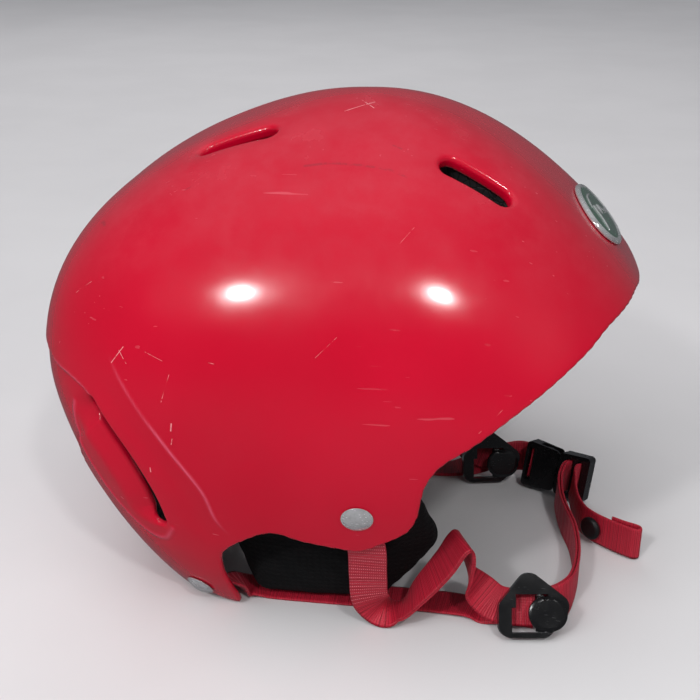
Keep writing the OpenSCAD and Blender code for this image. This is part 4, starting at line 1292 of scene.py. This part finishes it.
# ------------------------------------------------------------------ padded pieces
PADS = [("ear_pad_right", "ear_cushion_right", "ear_pad_r", M_EAR, "ear_fabric", 3.6, 3.0, 1.0),
        ("ear_pad_left", "ear_cushion_left", "ear_pad_l", M_EAR, "ear_fabric", 3.6, 3.0, 1.0),
        ("crown_pad", "crown_cushion", "helmet", M_COMFORT, "comfort_fabric", 2.2, 1.2, 0.4),
        ("brow_pad", "brow_cushion", "helmet", M_COMFORT, "comfort_fabric", 2.2, 1.2, 0.4),
        ("nape_pad", "nape_cushion", "helmet", M_COMFORT, "comfort_fabric", 2.2, 1.2, 0.4),
        ("side_pad_right", "side_cushion_right", "helmet", M_COMFORT, "comfort_fabric", 2.2, 1.2, 0.4),
        ("side_pad_left", "side_cushion_left", "helmet", M_COMFORT, "comfort_fabric", 2.2, 1.2, 0.4)]
soft = []
for node, name, body, mat, sl, voxel, cap, shrink in PADS:
    me = nodes[node].data.copy()
    me.materials.clear()
    ob = bpy.data.objects.new(name, me)
    scene.collection.objects.link(ob)
    md = ob.modifiers.new("weld", "WELD")
    md.merge_threshold = 1e-5
    md = ob.modifiers.new("remesh", "REMESH")
    md.mode = "VOXEL"
    md.voxel_size = voxel * MM
    dg = bpy.context.evaluated_depsgraph_get()
    new = bpy.data.meshes.new_from_object(ob.evaluated_get(dg), depsgraph=dg)
    ob.modifiers.clear()
    ob.data = new
    n = len(new.vertices)
    co = np.empty(n * 3)
    no = np.empty(n * 3)
    new.vertices.foreach_get("co", co)
    new.vertices.foreach_get("normal", no)
    co = co.reshape(-1, 3) - no.reshape(-1, 3) * shrink * MM
    new.vertices.foreach_set("co", co.ravel())
    new.update()
    start = co.copy()
    cl = ob.modifiers.new("cloth", "CLOTH")
    s = cl.settings
    s.quality = 5
    s.mass = 0.15
    s.tension_stiffness = 8
    s.compression_stiffness = 8
    s.shear_stiffness = 4
    s.bending_stiffness = 0.4
    s.use_pressure = True
    s.uniform_pressure_force = 4.0 if cap > 2 else 2.5
    s.effector_weights.gravity = 0
    cl.collision_settings.use_collision = False
    cl.collision_settings.use_self_collision = False
    cl.point_cache.frame_start = 1
    cl.point_cache.frame_end = 20
    soft.append((ob, start, cap, body, mat, sl, node))
for f in range(1, 21):
    scene.frame_set(f)
dg = bpy.context.evaluated_depsgraph_get()
for ob, start, cap, *_ in soft:
    ev = ob.evaluated_get(dg)
    co = np.empty(len(ev.data.vertices) * 3)
    ev.data.vertices.foreach_get("co", co)
    mv = co.reshape(-1, 3) - start
    ln = np.linalg.norm(mv, axis=1, keepdims=True)
    mv *= np.minimum(1, cap * MM / np.maximum(ln, 1e-9))
    # cloth on a free body may drift as a whole: keep the pad where it is
    mv -= mv.mean(0)
    ob.modifiers.clear()
    ob.data.vertices.foreach_set("co", (start + mv).ravel())
    ob.data.update()
scene.frame_set(1)
for ob, start, cap, body, mat, sl, node in soft:
    ss = ob.modifiers.new("sub", "SUBSURF")
    ss.levels = ss.render_levels = 1
    dg = bpy.context.evaluated_depsgraph_get()
    new = bpy.data.meshes.new_from_object(ob.evaluated_get(dg), depsgraph=dg)
    ob.modifiers.clear()
    ob.data = new
    n = len(new.vertices)
    co = np.empty(n * 3)
    no = np.empty(n * 3)
    new.vertices.foreach_get("co", co)
    new.vertices.foreach_get("normal", no)
    co, no = co.reshape(-1, 3), no.reshape(-1, 3)
    x, y, z = co.T * 1000
    # soft rumples and, on the comfort pads, quilted channels
    r = 0.22 * np.sin(x * 0.21 + 1.7 * np.sin(z * 0.11)) * np.sin(z * 0.19 + y * 0.13) + 0.10 * np.sin(x * 0.6 + z * 0.4)
    if cap < 2:
        v = (co - np.array([0, 0, 0.102]))
        pol = np.degrees(np.arccos(np.clip(v[:, 2] / np.linalg.norm(v, axis=1), -1, 1)))
        azi = np.degrees(np.arctan2(v[:, 1], v[:, 0]))
        inward = np.einsum("ij,ij->i", no, -v / np.linalg.norm(v, axis=1, keepdims=True)) > 0.3
        ch = np.exp(-((((azi + 360) % 18) - 9) / 0.9) ** 2) if "crown" not in node else np.exp(-(((azi + 360) % 60 - 30) / 3.0) ** 2) * (pol > 8)
        r = r - 1.1 * ch * inward
    co = co + no * (r * MM)[:, None]
    new.vertices.foreach_set("co", co.ravel())
    new.materials.clear()
    new.materials.append(mat)
    new.shade_smooth()
    new.update()
    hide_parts(node)
    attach(ob, body)

# ------------------------------------------------------------------ stage
def plain(name, col, rough, bump=0.0):
    k = Mat(name)
    c = k.mix(k.ramp(k.noise(6, 3, 0.6), 0.3, 0.7), col, tuple(x * 0.96 for x in col))
    k.link(c, k.b.inputs["Base Color"])
    k.b.inputs["Roughness"].default_value = rough
    return k.m


def quad(name, pts, mat):
    me = bpy.data.meshes.new(name)
    me.from_pydata([tuple(p) for p in pts], [], [(0, 1, 2, 3)])
    me.update()
    o = bpy.data.objects.new(name, me)
    scene.collection.objects.link(o)
    me.materials.append(mat)
    return o


M_FLOOR = plain("stage_floor", (0.66, 0.65, 0.66), 0.55)
floor = quad("stage_floor", [(-40, -40, 0), (40, -40, 0), (40, 40, 0), (-40, 40, 0)], M_FLOOR)
floor.visible_glossy = False


def light(name, pos, target, size, power, col=(1, 1, 1), shape="DISK", size_y=None, gloss=True):
    d = bpy.data.lights.new(name, "AREA")
    d.shape = shape
    d.size = size
    if size_y:
        d.size_y = size_y
    d.energy = power
    d.color = col
    o = bpy.data.objects.new(name, d)
    scene.collection.objects.link(o)
    o.location = pos
    o.rotation_euler = (Vector(target) - Vector(pos)).to_track_quat("-Z", "Y").to_euler()
    o.visible_glossy = gloss
    return o


CAM = Vector((0.0547, -0.4648, 0.29169))


def mirror_light(name, a, p, dist, size, power, col=(1, 1, 1)):
    """A lamp seen by reflection at one place on the shell."""
    P = Vector(spt(a, p))
    N = Vector(surf_n(np.array([float(a)]), np.array([float(p)]))[0])
    V = (CAM - P).normalized()
    L = (2 * N.dot(V) * N - V).normalized()
    return light(name, P + L * dist, P, size, power, col)


mirror_light("lamp_a", -108.5, 63.9, 1.6, 0.14, 7.5)
mirror_light("lamp_b", -66.8, 62.7, 1.6, 0.12, 6)
light("ceiling", (0.1, -0.4, 1.9), (0, 0, 0), 1.6, 8, (1.0, 0.99, 0.97), "SQUARE", gloss=False)
light("back", (-0.5, 1.5, 1.2), (0, 0, 0.1), 0.9, 5, (1, 0.98, 0.98), "SQUARE", gloss=False)
light("sky", (-0.3, 0.6, 2.2), (0, 0, 0.1), 2.6, 1.6, (0.90, 0.92, 1.0), "DISK")
light("key", (-0.9, -1.3, 1.3), (0, 0, 0.1), 0.9, 7, (1.0, 0.98, 0.98), "SQUARE", gloss=False)
light("fill", (1.4, -0.9, 0.8), (0, 0, 0.08), 0.9, 5.5, (1, 0.97, 0.93), "SQUARE", gloss=False)
day = bpy.data.lights.new("day", "SUN")
day.energy = 1.5
day.angle = 70 * D2R
day.color = (0.97, 0.98, 1.0)
day_ob = bpy.data.objects.new("day", day)
scene.collection.objects.link(day_ob)
day_ob.rotation_euler = Vector((0.35, 0.55, -1)).to_track_quat("-Z", "Y").to_euler()
day_ob.visible_glossy = False
world = bpy.data.worlds.new("world")
scene.world = world
world.use_nodes = True
world.node_tree.nodes["Background"].inputs["Color"].default_value = (0.9, 0.92, 1.0, 1)
world.node_tree.nodes["Background"].inputs["Strength"].default_value = 0.12
